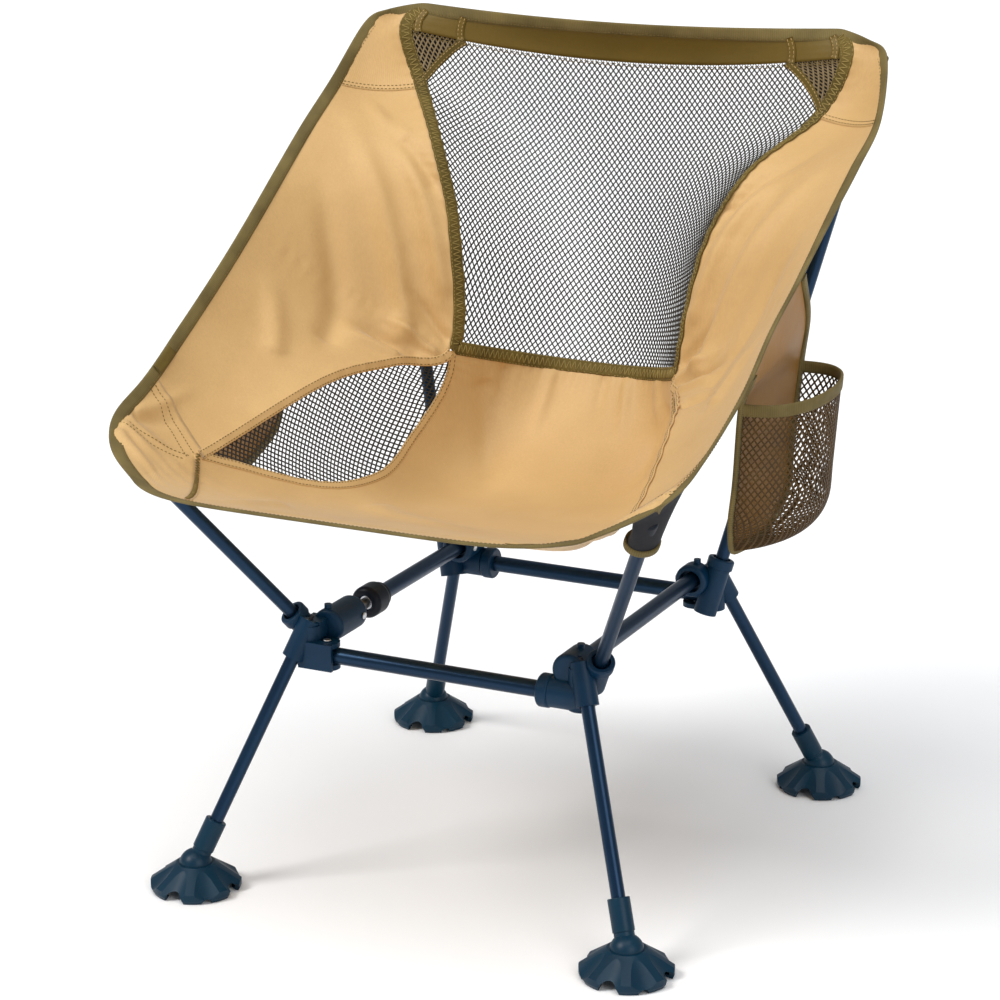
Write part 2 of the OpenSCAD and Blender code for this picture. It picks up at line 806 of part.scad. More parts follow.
module hub_front_left() { placed() color(hub_colour) hub(false, false); }
module hub_front_right() { placed() color(hub_colour) hub(true, false); }
module hub_back_left() { placed() color(hub_colour) hub(false, true); }
module hub_back_right() { placed() color(hub_colour) hub(true, true); }
module front_bar() { placed() color(tube_colour) cross_bar(); }
module back_bar() { placed() color(tube_colour) half_turn() cross_bar(); }
module left_bar() { placed() color(tube_colour) left_side_bar(); }
module right_bar() { placed() color(tube_colour) right_side_bar(); }
module hinge_pins() {
  placed() color(metal_colour) {
    hinge_pin();
    half_turn() hinge_pin();
  }
}
module hub_rivets() {
  placed() color(metal_colour) {
    at_corner(false, false) rivet(lock_mouth_y);
    at_corner(true, false) rivet(barrel_mouth_y);
    at_corner(false, true) rivet(barrel_mouth_y);
    at_corner(true, true) rivet(barrel_mouth_y);
  }
}
module front_bar_collar() { placed() color(hub_colour) cross_bar_collar(); }
module back_bar_collar() { placed() color(hub_colour) half_turn() cross_bar_collar(); }
module left_bar_insert() { placed() color(metal_colour) bar_insert(); }
module bar_lock_knob() { placed() color(knob_colour) lock_knob(); }
module leg_front_left() { placed() color(tube_colour) leg(false, false); }
module leg_front_right() { placed() color(tube_colour) leg(true, false); }
module leg_back_left() { placed() color(tube_colour) leg(false, true); }
module leg_back_right() { placed() color(tube_colour) leg(true, true); }
module leg_cord_front_left() { placed() color(cord_colour) leg_cord(false, false); }
module leg_cord_front_right() { placed() color(cord_colour) leg_cord(true, false); }
module leg_cord_back_left() { placed() color(cord_colour) leg_cord(false, true); }
module leg_cord_back_right() { placed() color(cord_colour) leg_cord(true, true); }
module ball_sleeve_front_left() { placed() color(foot_colour) ball_sleeve(false, false); }
module ball_sleeve_front_right() { placed() color(foot_colour) ball_sleeve(true, false); }
module ball_sleeve_back_left() { placed() color(foot_colour) ball_sleeve(false, true); }
module ball_sleeve_back_right() { placed() color(foot_colour) ball_sleeve(true, true); }
module foot_front_left() { placed() color(foot_colour) foot(false, false); }
module foot_front_right() { placed() color(foot_colour) foot(true, false); }
module foot_back_left() { placed() color(foot_colour) foot(false, true); }
module foot_back_right() { placed() color(foot_colour) foot(true, true); }
module front_pole_left() { placed() color(tube_colour) front_pole(false); }
module front_pole_right() { placed() color(tube_colour) front_pole(true); }
module back_pole_lower_left() { placed() color(tube_colour) back_pole_lower(false); }
module back_pole_lower_right() { placed() color(tube_colour) back_pole_lower(true); }
module back_pole_upper_left() { placed() color(tube_colour) back_pole_upper(false); }
module back_pole_upper_right() { placed() color(tube_colour) back_pole_upper(true); }
module pole_ferrule_left() { placed() color(metal_colour) pole_ferrule(false); }
module pole_ferrule_right() { placed() color(metal_colour) pole_ferrule(true); }
module front_pole_caps() {
  placed() color(knob_colour) {
    pole_cap(false, false);
    pole_cap(true, false);
  }
}
module back_pole_caps() {
  placed() color(knob_colour) {
    pole_cap(false, true);
    pole_cap(true, true);
  }
}
module back_mesh() { placed() color(mesh_colour) back_mesh_panel(); }
module top_band() { placed() color(trim_colour) top_band_panel(); }
module wing_left() { placed() color(cloth_colour) wing(false); }
module wing_right() { placed() color(cloth_colour) wing(true); }
module seat_panel() { placed() color(cloth_colour) seat_panel_cloth(); }
module seat_mesh_left() { placed() color(mesh_colour) seat_mesh(false); }
module seat_mesh_right() { placed() color(mesh_colour) seat_mesh(true); }
module corner_mesh_left() { placed() color(pocket_mesh_colour) corner_mesh(false); }
module corner_mesh_right() { placed() color(pocket_mesh_colour) corner_mesh(true); }
module front_corner_pocket_left() { placed() color(cloth_colour) front_corner_pocket(false); }
module front_corner_pocket_right() { placed() color(cloth_colour) front_corner_pocket(true); }
module back_corner_pocket_left() { placed() color(cloth_colour) back_corner_pocket(false); }
module back_corner_pocket_right() { placed() color(cloth_colour) back_corner_pocket(true); }
module edge_binding() { placed() color(trim_colour) sling_binding(); }
module back_seam_tape() { placed() color(trim_colour) mesh_tape(); }
module label_loop() { placed() color(trim_colour) edge_loop(); }
module side_pocket_left() { placed() color(pocket_mesh_colour) side_pocket(false); }
module side_pocket_right() { placed() color(pocket_mesh_colour) side_pocket(true); }
module pocket_flap_left() { placed() color(cloth_colour) pocket_flap(false); }
module pocket_flap_right() { placed() color(cloth_colour) pocket_flap(true); }

hub_front_left();
hub_front_right();
hub_back_left();
hub_back_right();
front_bar();
back_bar();
left_bar();
right_bar();
hinge_pins();
hub_rivets();
front_bar_collar();
back_bar_collar();
left_bar_insert();
bar_lock_knob();
leg_front_left();
leg_front_right();
leg_back_left();
leg_back_right();
leg_cord_front_left();
leg_cord_front_right();
leg_cord_back_left();
leg_cord_back_right();
ball_sleeve_front_left();
ball_sleeve_front_right();
ball_sleeve_back_left();
ball_sleeve_back_right();
foot_front_left();
foot_front_right();
foot_back_left();
foot_back_right();
front_pole_left();
front_pole_right();
back_pole_lower_left();
back_pole_lower_right();
back_pole_upper_left();
back_pole_upper_right();
pole_ferrule_left();
pole_ferrule_right();
front_pole_caps();
back_pole_caps();
back_mesh();
top_band();
wing_left();
wing_right();
seat_panel();
seat_mesh_left();
seat_mesh_right();
corner_mesh_left();
corner_mesh_right();
front_corner_pocket_left();
front_corner_pocket_right();
back_corner_pocket_left();
back_corner_pocket_right();
edge_binding();
back_seam_tape();
label_loop();
side_pocket_left();
side_pocket_right();
pocket_flap_left();
pocket_flap_right();
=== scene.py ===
"""Looks of the ultralight backpacking chair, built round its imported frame.

The tubes, hubs and feet are the CAD nodes with finished materials. The sling, its trim and its
pockets are modelled here: cloth panels and knitted nets laid over the sling surface that the CAD
panels follow. Lengths in the first sections are millimetres about the middle of the hub rectangle,
as in the CAD source; metres() turns them into the frame's own metres.
"""
import math

import bpy
import numpy as np
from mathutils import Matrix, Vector


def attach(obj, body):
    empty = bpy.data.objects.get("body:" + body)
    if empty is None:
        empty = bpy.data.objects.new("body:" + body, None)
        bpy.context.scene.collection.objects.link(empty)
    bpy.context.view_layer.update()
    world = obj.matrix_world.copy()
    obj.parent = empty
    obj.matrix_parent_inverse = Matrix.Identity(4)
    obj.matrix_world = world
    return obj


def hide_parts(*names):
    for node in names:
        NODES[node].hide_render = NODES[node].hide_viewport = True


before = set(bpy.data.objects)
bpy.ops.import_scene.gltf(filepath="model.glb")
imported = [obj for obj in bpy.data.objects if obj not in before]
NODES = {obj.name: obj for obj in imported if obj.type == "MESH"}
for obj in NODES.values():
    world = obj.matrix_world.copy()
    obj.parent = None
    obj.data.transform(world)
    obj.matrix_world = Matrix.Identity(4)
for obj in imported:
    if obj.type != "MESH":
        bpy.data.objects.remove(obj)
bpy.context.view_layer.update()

FRAME_Y = 32.0
SIDES = {"left": -1, "right": 1}


def metres(points):
    """Millimetres about the hub rectangle's middle to metres in the frame."""
    return (np.asarray(points, float) + (0, FRAME_Y, 0)) * 0.001


# ---- Camera, floor and light -------------------------------------------------------------

AZIMUTH = math.radians(25.5)
ELEVATION = math.radians(16.5)
CAMERA_DISTANCE = 2.452
CAMERA_TARGET = Vector((0, FRAME_Y * 0.001, 0.3))
SENSOR = 36.0
LENS = 108.85
SHIFT = (-0.0169, -0.006)


def add_camera():
    back = Vector((
        math.sin(AZIMUTH) * math.cos(ELEVATION),
        -math.cos(AZIMUTH) * math.cos(ELEVATION),
        math.sin(ELEVATION),
    ))
    data = bpy.data.cameras.new("camera")
    data.sensor_width = SENSOR
    data.lens = LENS
    data.shift_x, data.shift_y = SHIFT
    camera = bpy.data.objects.new("camera", data)
    camera.location = CAMERA_TARGET + back * CAMERA_DISTANCE
    camera.rotation_euler = back.to_track_quat("Z", "Y").to_euler()
    bpy.context.collection.objects.link(camera)
    bpy.context.scene.camera = camera


def add_softbox(name, towards, strength, spread, colour=(1, 1, 1)):
    """Even light from a direction; spread is the angle that the lamp fills, in degrees."""
    data = bpy.data.lights.new(name, "SUN")
    data.energy = strength
    data.angle = math.radians(spread)
    data.color = colour
    light = bpy.data.objects.new(name, data)
    light.rotation_euler = Vector(towards).to_track_quat("Z", "Y").to_euler()
    bpy.context.collection.objects.link(light)


def add_studio():
    world = bpy.data.worlds.new("studio")
    world.use_nodes = True
    background = world.node_tree.nodes["Background"]
    background.inputs["Color"].default_value = (1, 1, 1, 1)
    background.inputs["Strength"].default_value = 1.0
    # the floor and walls stay pale in the picture while the chair is lit mostly by the lamps
    tree = world.node_tree
    path = tree.nodes.new("ShaderNodeLightPath")
    dim = tree.nodes.new("ShaderNodeBackground")
    dim.inputs["Color"].default_value = (0.93, 0.96, 1.0, 1)
    dim.inputs["Strength"].default_value = 0.42
    mix = tree.nodes.new("ShaderNodeMixShader")
    tree.links.new(path.outputs["Is Camera Ray"], mix.inputs["Fac"])
    tree.links.new(dim.outputs["Background"], mix.inputs[1])
    tree.links.new(background.outputs["Background"], mix.inputs[2])
    tree.links.new(mix.outputs["Shader"], tree.nodes["World Output"].inputs["Surface"])
    bpy.context.scene.world = world
    add_softbox("key", (-0.85, -0.95, 1.25), 1.85, 22, (1.0, 0.985, 0.97))
    add_softbox("fill", (1.4, -0.9, 0.9), 0.85, 36)
    add_softbox("top", (0.1, -0.3, 1.6), 1.25, 40, (0.97, 0.985, 1.0))
    floor_half = 8.0
    mesh = bpy.data.meshes.new("floor")
    corners = [(-floor_half, -floor_half, 0), (floor_half, -floor_half, 0),
               (floor_half, floor_half, 0), (-floor_half, floor_half, 0)]
    mesh.from_pydata([(x, y, -0.0002) for x, y, z in corners], [], [(0, 1, 2, 3)])
    floor = bpy.data.objects.new("floor", mesh)
    bpy.context.collection.objects.link(floor)
    paint = Shader("floor_paint", roughness=0.7)
    paint.colour(paint.mix_by_noise(0.8, (0.93, 0.93, 0.93), (0.96, 0.96, 0.96)))
    floor.data.materials.append(paint.material)
    view = bpy.context.scene.view_settings
    view.view_transform = "Standard"
    view.look = "None"


# ---- Materials ---------------------------------------------------------------------------

class Shader:
    """A Principled material, with short calls for the nodes that feed it."""

    def __init__(self, name, roughness=0.5, metallic=0.0, **sockets):
        self.material = bpy.data.materials.new(name)
        self.material.use_nodes = True
        self.tree = self.material.node_tree
        self.principled = self.tree.nodes["Principled BSDF"]
        self.principled.inputs["Roughness"].default_value = roughness
        self.principled.inputs["Metallic"].default_value = metallic
        for socket, value in sockets.items():
            self.principled.inputs[socket.replace("_", " ")].default_value = value
        self.coordinates = self.tree.nodes.new("ShaderNodeTexCoord")
        self.last_bump = None

    def feed(self, socket, value):
        """Links a node's output to the socket, or sets the socket to a plain value."""
        if isinstance(value, bpy.types.NodeSocket):
            self.tree.links.new(value, socket)
        else:
            socket.default_value = value

    def node(self, kind, **inputs):
        node = self.tree.nodes.new(kind)
        for name, value in inputs.items():
            self.feed(node.inputs[name.replace("_", " ")], value)
        return node

    def stretched(self, scales, space="Object"):
        mapping = self.node("ShaderNodeMapping", Vector=self.coordinates.outputs[space])
        mapping.inputs["Scale"].default_value = scales
        return mapping.outputs["Vector"]

    def noise(self, scale, detail=3.0, space="Object", vector=None, rough=0.5):
        vector = vector or self.coordinates.outputs[space]
        node = self.node("ShaderNodeTexNoise", Vector=vector, Scale=scale, Detail=detail, Roughness=rough)
        return node.outputs["Fac"]

    def wave(self, direction, period, space="UV", distortion=0.0):
        """Sine bands with one full wave every period metres."""
        node = self.node("ShaderNodeTexWave", Vector=self.coordinates.outputs[space],
                         Scale=math.pi / 10 / period, Distortion=distortion, Detail=2.0)
        node.bands_direction = direction
        return node.outputs["Fac"]

    def maths(self, operation, first, second=0.5):
        node = self.tree.nodes.new("ShaderNodeMath")
        node.operation = operation
        for socket, value in zip(node.inputs, (first, second)):
            self.feed(socket, value)
        return node.outputs["Value"]

    def ramp(self, fac, stops):
        """Colour ramp through (place, colour) stops."""
        node = self.node("ShaderNodeValToRGB", Fac=fac)
        elements = node.color_ramp.elements
        while len(elements) < len(stops):
            elements.new(0.5)
        for element, (place, colour) in zip(elements, stops):
            element.position = place
            element.color = (*colour, 1)
        return node.outputs["Color"]

    def mix_by_noise(self, scale, first, second, spread=0.15, vector=None):
        fac = self.noise(scale, vector=vector)
        return self.ramp(fac, [(0.5 - spread, first), (0.5 + spread, second)])

    def mix(self, fac, first, second, blend="MIX"):
        node = self.tree.nodes.new("ShaderNodeMix")
        node.data_type = "RGBA"
        node.blend_type = blend
        for name, value in (("Factor_Float", fac), ("A_Color", first), ("B_Color", second)):
            socket = next(s for s in node.inputs if s.identifier == name)
            self.feed(socket, (*value, 1) if isinstance(value, tuple) else value)
        return next(s for s in node.outputs if s.identifier == "Result_Color")

    def colour(self, socket):
        self.tree.links.new(socket, self.principled.inputs["Base Color"])

    def roughness(self, fac, low, high):
        node = self.node("ShaderNodeMapRange", Value=fac, To_Min=low, To_Max=high)
        self.tree.links.new(node.outputs["Result"], self.principled.inputs["Roughness"])

    def bump(self, height, distance, strength=1.0):
        """Adds a layer of relief of the given depth in metres."""
        node = self.node("ShaderNodeBump", Height=height, Distance=distance, Strength=strength)
        if self.last_bump is not None:
            self.tree.links.new(self.last_bump, node.inputs["Normal"])
        self.last_bump = node.outputs["Normal"]
        self.tree.links.new(self.last_bump, self.principled.inputs["Normal"])


def woven(name, light, dark, thread, roughness, sheen):
    """Plain-woven cloth: warp and weft bands with painted shade in the grooves between the threads, slow
    fading and fine pressed creases.
    """
    cloth = Shader(name, roughness=roughness, Sheen_Weight=sheen, Sheen_Roughness=0.35,
                   Specular_IOR_Level=0.30)
    warp = cloth.wave("X", thread)
    weft = cloth.wave("Y", thread)
    weave = cloth.maths("MULTIPLY", warp, weft)
    fading = cloth.noise(9.0, detail=4.0)
    slub = cloth.noise(700.0, detail=2.0, vector=cloth.stretched((1, 1, 0.12)))
    base = cloth.ramp(fading, [(0.3, dark), (0.7, light)])
    # painted shade: the colour darkens in the grooves between the threads, where the weave's relief is low
    painted_weave_shade = cloth.ramp(weave, [(0.0, (0.80, 0.79, 0.77)), (0.6, (1, 1, 1))])
    slubs = cloth.ramp(slub, [(0.3, (0.94, 0.93, 0.91)), (0.7, (1.04, 1.04, 1.04))])
    tinted = cloth.mix(0.55, base, painted_weave_shade, "MULTIPLY")
    cloth.colour(cloth.mix(0.6, tinted, slubs, "MULTIPLY"))
    cloth.roughness(fading, roughness - 0.06, roughness + 0.08)
    cloth.bump(weave, 0.00012, 0.5)
    cloth.bump(cloth.noise(42.0, detail=3.0), 0.0016, 0.5)
    return cloth.material


def tape_cloth(name, light, dark, rib):
    """Narrow woven tape with ribs across it."""
    tape = Shader(name, roughness=0.75, Sheen_Weight=0.04, Sheen_Roughness=0.4, Specular_IOR_Level=0.25)
    ribs = tape.wave("Y", rib)
    grain = tape.noise(900.0, detail=2.0)
    base = tape.mix_by_noise(35.0, dark, light)
    shade = tape.ramp(ribs, [(0.0, (0.72, 0.70, 0.68)), (0.7, (1, 1, 1))])
    tape.colour(tape.mix(0.7, base, shade, "MULTIPLY"))
    tape.roughness(grain, 0.68, 0.85)
    tape.bump(ribs, 0.00018, 0.6)
    tape.bump(grain, 0.0001, 0.4)
    return tape.material


def thread_cloth(name, light, dark, roughness=0.6):
    """Twisted sewing or knitting thread."""
    thread = Shader(name, roughness=roughness, Sheen_Weight=0.03, Sheen_Roughness=0.4, Specular_IOR_Level=0.25)
    twist = thread.noise(1400.0, detail=2.0)
    thread.colour(thread.mix(0.5, thread.mix_by_noise(60.0, dark, light),
                             thread.ramp(twist, [(0.3, dark), (0.7, light)])))
    thread.roughness(twist, roughness - 0.1, roughness + 0.15)
    thread.bump(twist, 0.00012, 0.6)
    return thread.material


def anodised(name, colour, edge):
    """Dyed anodised aluminium tube with faint draw lines and small rubbed spots."""
    metal = Shader(name, roughness=0.3, metallic=0.72, Specular_IOR_Level=0.6)
    drawn = metal.noise(260.0, detail=4.0)
    rubs = metal.noise(38.0, detail=6.0, rough=0.65)
    tone = metal.mix_by_noise(14.0, colour, edge, 0.3)
    rubbed = metal.ramp(rubs, [(0.66, (1, 1, 1)), (0.74, (1.9, 1.8, 1.6))])
    metal.colour(metal.mix(0.35, tone, rubbed, "MULTIPLY"))
    metal.roughness(drawn, 0.24, 0.4)
    metal.bump(drawn, 0.00005, 0.25)
    return metal.material


def moulded(name, colour, light, roughness=0.42, grain=1100.0, coat=0.03):
    """Injection-moulded plastic with a fine spark-eroded grain and slight flow marks."""
    plastic = Shader(name, roughness=roughness, Specular_IOR_Level=0.20, Coat_Weight=coat,
                     Coat_Roughness=0.3)
    flow = plastic.noise(22.0, detail=3.0)
    texture = plastic.noise(grain, detail=2.0)
    scuffs = plastic.noise(75.0, detail=8.0, rough=0.7)
    base = plastic.ramp(flow, [(0.3, colour), (0.7, light)])
    worn = plastic.ramp(scuffs, [(0.62, (1, 1, 1)), (0.75, (1.7, 1.7, 1.7))])
    plastic.colour(plastic.mix(0.4, base, worn, "MULTIPLY"))
    plastic.roughness(scuffs, roughness - 0.08, roughness + 0.14)
    plastic.bump(texture, 0.00008, 0.4)
    plastic.bump(flow, 0.0004, 0.2)
    return plastic.material


def bright_metal(name):
    metal = Shader(name, roughness=0.3, metallic=1.0)
    brushed = metal.noise(90.0, detail=5.0, vector=metal.stretched((1, 1, 14)))
    metal.colour(metal.ramp(brushed, [(0.3, (0.5, 0.51, 0.53)), (0.7, (0.72, 0.73, 0.74))]))
    metal.roughness(brushed, 0.22, 0.42)
    metal.bump(brushed, 0.00004, 0.4)
    return metal.material


TAN = (0.655, 0.420, 0.178)
TAN_SHADE = (0.565, 0.350, 0.138)


def make_materials():
    return {
        "tan": woven("tan_nylon", TAN, TAN_SHADE, 0.0009, 0.5, 0.25),
        "band": woven("band_nylon", (0.165, 0.104, 0.011), (0.125, 0.078, 0.008), 0.0009, 0.5, 0.03),
        "binding": tape_cloth("binding_tape", (0.185, 0.137, 0.046), (0.125, 0.092, 0.029), 0.0016),
        "seam_tape": tape_cloth("overlock_tape", (0.150, 0.102, 0.019), (0.092, 0.062, 0.011), 0.0013),
        "tan_thread": thread_cloth("tan_thread", (0.50, 0.34, 0.14), (0.34, 0.22, 0.08)),
        "olive_thread": thread_cloth("olive_thread", (0.21, 0.140, 0.034), (0.11, 0.072, 0.016)),
        "mustard_thread": thread_cloth("mustard_thread", (0.34, 0.25, 0.075), (0.19, 0.135, 0.035)),
        # painted shade: the pocket flap is the tan nylon coloured darker and more orange for the shade it
        # hangs in
        "flap": woven("shaded_nylon", (0.36, 0.170, 0.030), (0.28, 0.130, 0.022), 0.0009, 0.5, 0.05),
        "net": thread_cloth("dark_net_yarn", (0.040, 0.034, 0.024), (0.018, 0.015, 0.011)),
        "corner_net": thread_cloth("corner_net_yarn", (0.26, 0.190, 0.100), (0.17, 0.12, 0.06)),
        "backing": woven("dark_lining", (0.004, 0.004, 0.008), (0.003, 0.003, 0.005), 0.0009, 0.65, 0.01),
        "pocket_net": thread_cloth("pocket_net_yarn", (0.090, 0.046, 0.009), (0.042, 0.021, 0.004)),
        "tube": anodised("navy_anodised", (0.003, 0.020, 0.052), (0.005, 0.030, 0.070)),
        "hub": moulded("navy_plastic", (0.0006, 0.020, 0.052), (0.0012, 0.028, 0.068)),
        "foot": moulded("foot_plastic", (0.0006, 0.019, 0.040), (0.0012, 0.027, 0.052), 0.36),
        "knob": moulded("black_plastic", (0.0005, 0.0025, 0.008), (0.0008, 0.004, 0.011), 0.4),
        "metal": bright_metal("bright_metal"),
        "cord": thread_cloth("braided_cord", (0.05, 0.05, 0.055), (0.02, 0.02, 0.022)),
    }


# ---- Sling surface -----------------------------------------------------------------------
# Three lines run from the top edge (row 0) over the back and seat to the front edge (row 9).

SPINE = [(0, 200, 655), (0, 214, 622), (0, 211, 566), (0, 203, 505), (0, 190, 440),
         (0, 165, 367), (0, 70, 292), (0, -50, 287), (0, -180, 320), (0, -316, 362)]
SEAM = [(190, 212, 660), (204, 198, 641), (184, 188, 594), (142, 136, 552), (114, 110, 490),
        (102, 86, 393), (128, 28, 392), (154, -45, 389), (184, -190, 359), (182, -283, 363)]
EDGE = [(218, 200, 656), (236, 192, 644), (247, 150, 600), (247, 100, 570), (245, 55, 543),
        (242, -10, 503), (240, -60, 474), (241, -118, 439), (238, -185, 407), (239, -251, 387)]
LAST_ROW = len(SPINE) - 1
BAND_ROW = 1
PATCH_ROW = 2
FOLD_ROW = 5
TIP_ROW = 8
LEAF = [1, 0.9, 0.85, 0.77, 0.8, 1]
FRONT_ROUNDING = 0.2
BACK_ROUNDING = 0.15
WING_BELLY = 7.0


def spline(points, steps):
    """Smooth line through a list of points, or of numbers, at an array of steps."""
    points = np.asarray(points, float)
    n = len(points)
    ends = np.concatenate([[2 * points[0] - points[1]], points, [2 * points[-1] - points[-2]]])
    i = np.clip(np.floor(steps).astype(int), 0, n - 2)
    a, b, c, d = ends[i], ends[i + 1], ends[i + 2], ends[i + 3]
    t = steps - i
    if points.ndim > 1:
        t = t[..., None]
    return 0.5 * (2 * b + (c - a) * t + (2 * a - 5 * b + 4 * c - d) * t ** 2
                  + (3 * b - a - 3 * c + d) * t ** 3)


def smooth(t):
    k = np.clip(t, 0, 1)
    return k * k * (3 - 2 * k)


def unit(vectors):
    return vectors / np.maximum(np.linalg.norm(vectors, axis=-1, keepdims=True), 1e-12)


def eased(u, v):
    """Places on the sling with its outer corners rounded off."""
    a = np.maximum(u - 1, 0)
    front = np.maximum(v - TIP_ROW, 0)
    back = np.maximum(BAND_ROW - v, 0)
    inward_share = FRONT_ROUNDING * front ** 4 + BACK_ROUNDING * back ** 4
    return u - a * inward_share, v - (FRONT_ROUNDING * front - BACK_ROUNDING * back) * a ** 4


def sling(u, v):
    """The taut sling in millimetres: u is 0 in the middle, 1 at the seam and 2 at the edge."""
    u, v = np.broadcast_arrays(np.asarray(u, float), np.asarray(v, float))
    side = np.where(u < 0, -1.0, 1.0)
    u, v = eased(np.abs(u), v)
    seam, spine, edge = spline(SEAM, v), spline(SPINE, v), spline(EDGE, v)
    fullness = 2 + 4 * smooth((v - 4.6) / 1.6)
    k = np.minimum(u, 1) ** fullness
    middle = spine + (seam - spine) * k[..., None]
    middle[..., 0] = seam[..., 0] * np.minimum(u, 1)
    run = spline(SEAM, v + 0.2) - spline(SEAM, v - 0.2)
    outward = unit(np.cross(edge - seam, run))
    fade = smooth(v / 2) * smooth((LAST_ROW - v) / 1.5)
    t = u - 1
    belly = WING_BELLY * fade * 4 * t * (1 - t)
    wing = seam + (edge - seam) * t[..., None] + outward * belly[..., None]
    points = np.where((u > 1)[..., None], wing, middle)
    return points * np.stack([side, np.ones_like(side), np.ones_like(side)], axis=-1)


def inward(u, v):
    """Unit normals of the sling, towards the sitter."""
    h = 0.02
    across = sling(u + h, v) - sling(u - h, v)
    down = sling(u, v + h) - sling(u, v - h)
    return unit(np.cross(down, across))


def both_sides(folds):
    """Folds given for the right-hand side, with their mirror images."""
    return folds + [((-a, b), (-c, d), width, tall) for (a, b), (c, d), width, tall in folds]


# Folds in the cloth: each from (u, v), where it is tallest, to (u, v), with its width and height in mm
FOLDS = both_sides([
    # fan of tension folds from the front corners
    ((1.85, 8.62), (1.02, 8.34), 4.5, 2.6), ((1.85, 8.48), (1.05, 8.12), 4.5, 2.4),
    ((1.82, 8.76), (0.85, 8.62), 4.5, 2.4), ((1.80, 8.38), (1.35, 7.75), 5, -2.0),
    # long soft folds down the wings
    ((1.15, 5.40), (1.70, 2.40), 9, 4.6), ((1.30, 6.20), (1.85, 3.60), 10, -4.2),
    ((1.06, 4.60), (1.30, 2.50), 7, 4.2), ((1.42, 6.80), (1.85, 5.40), 9, 3.0),
    ((1.05, 3.60), (1.45, 2.20), 6, -3.2),
    # short deep creases where the wings meet the seat and the back
    ((1.02, 5.25), (1.40, 5.05), 4, 4.0), ((1.02, 5.55), (1.50, 5.35), 5, -4.0),
    ((1.02, 4.95), (1.30, 4.60), 4, -3.4),
]) + [
    # creases of one side only
    ((-1.82, 8.30), (-1.55, 7.40), 5, 1.8), ((-1.20, 2.90), (-1.60, 2.15), 6, 2.6),
    ((1.04, 6.60), (1.50, 6.30), 6, -3.0), ((-1.02, 5.85), (-1.42, 5.70), 4.5, 3.4),
    ((1.02, 5.95), (1.42, 5.80), 4.5, 3.2),
    # slack across the seat
    ((-0.80, 5.30), (-0.25, 6.50), 10, -3.2), ((0.80, 5.35), (0.30, 6.40), 10, -3.2),
    ((-0.62, 7.10), (0.30, 7.50), 13, 2.4), ((-0.55, 8.40), (0.50, 8.22), 11, -2.8),
    ((0.66, 7.00), (0.88, 8.60), 7, 2.8), ((0.78, 7.40), (0.60, 8.70), 7, -2.4),
    ((0.70, 8.60), (0.10, 8.45), 8, 2.4), ((-0.66, 7.90), (-0.72, 8.70), 7, 2.6),
    ((-0.40, 5.08), (-0.32, 5.70), 5, 2.2), ((0.28, 5.08), (0.36, 5.60), 5, 2.2),
    ((-0.72, 5.10), (-0.62, 5.60), 5, -2.2), ((0.62, 5.08), (0.70, 5.60), 5, 2.0),
    ((0.05, 5.08), (0.10, 5.50), 5, -1.8),
]
FOLD_NARROWING = 0.8
FOLD_SHARPENING = 1.35


def fold_relief(points):
    """Height of the folds at sling points, in millimetres."""
    height = np.zeros(points.shape[:-1])
    for start, end, width, tall in FOLDS:
        steps = np.linspace(0, 1, 7)
        line = sling(start[0] + (end[0] - start[0]) * steps, start[1] + (end[1] - start[1]) * steps)
        nearest = np.full(points.shape[:-1], 1e9)
        place = np.zeros(points.shape[:-1])
        for k in range(len(steps) - 1):
            along = line[k + 1] - line[k]
            t = np.clip(((points - line[k]) @ along) / (along @ along), 0, 1)
            gap = np.linalg.norm(points - (line[k] + t[..., None] * along), axis=-1)
            closer = gap < nearest
            nearest = np.where(closer, gap, nearest)
            place = np.where(closer, (k + t) / (len(steps) - 1), place)
        taper = smooth((1 - place) / 0.6) * smooth(place / 0.08 + 0.4)
        height += FOLD_SHARPENING * tall * taper * np.exp(-0.5 * (nearest / (FOLD_NARROWING * width)) ** 2)
    return height


def pucker(u, v):
    """Small ripples that the stitching pulls into the cloth beside the seams and edges."""
    reach = 0.11
    along = v * 62.0 + 6.0 * np.sin(v * 2.3) + np.sign(u) * 3.0
    ripple = np.sin(along * 2 * math.pi / 11.0 + 1.5 * np.sin(along / 17.0))
    beside = np.zeros(np.broadcast(u, v).shape)
    for line in (1.0, 2.0):
        beside = beside + np.exp(-np.abs(np.abs(u) - line) / reach)
    across = np.sin(u * 190 * 2 * math.pi / 12.0 + 1.2 * np.sin(u * 9.0))
    ends = np.exp(-np.abs(v - LAST_ROW) / 0.22) + np.exp(-np.abs(v - FOLD_ROW) / 0.12)
    return 0.45 * ripple * beside + 0.5 * across * ends * (v > FOLD_ROW - 0.01)


def cloth(u, v, lift=0.0):
    """The worn-in sling, with its folds, raised towards the sitter by lift millimetres."""
    u, v = np.broadcast_arrays(np.asarray(u, float), np.asarray(v, float))
    points = sling(u, v)
    # near the outline the cloth lies flat inside its binding
    flat = smooth((1.92 - np.abs(u)) / 0.12) * smooth((LAST_ROW - 0.07 - v) / 0.12) * smooth((v - 0.12) / 0.2)
    relief = (fold_relief(points) + pucker(u, v) + lift) * flat
    return points + inward(u, v) * relief[..., None]


# ---- Mesh making -------------------------------------------------------------------------

def new_object(name, points, faces, material, uvs=None, smooth_shaded=True):
    """An object from points in metres. It rides on the root body."""
    mesh = bpy.data.meshes.new(name)
    mesh.from_pydata(np.asarray(points).tolist(), [], [tuple(f) for f in np.asarray(faces).tolist()])
    if uvs is not None:
        layer = mesh.uv_layers.new(name="UVMap")
        corners = np.empty(len(mesh.loops), dtype=np.int32)
        mesh.loops.foreach_get("vertex_index", corners)
        layer.data.foreach_set("uv", np.asarray(uvs, float)[corners].ravel())
    if smooth_shaded:
        mesh.polygons.foreach_set("use_smooth", [True] * len(mesh.polygons))
    mesh.materials.append(MATERIALS[material])
    obj = bpy.data.objects.new(name, mesh)
    bpy.context.collection.objects.link(obj)
    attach(obj, "root")
    return obj


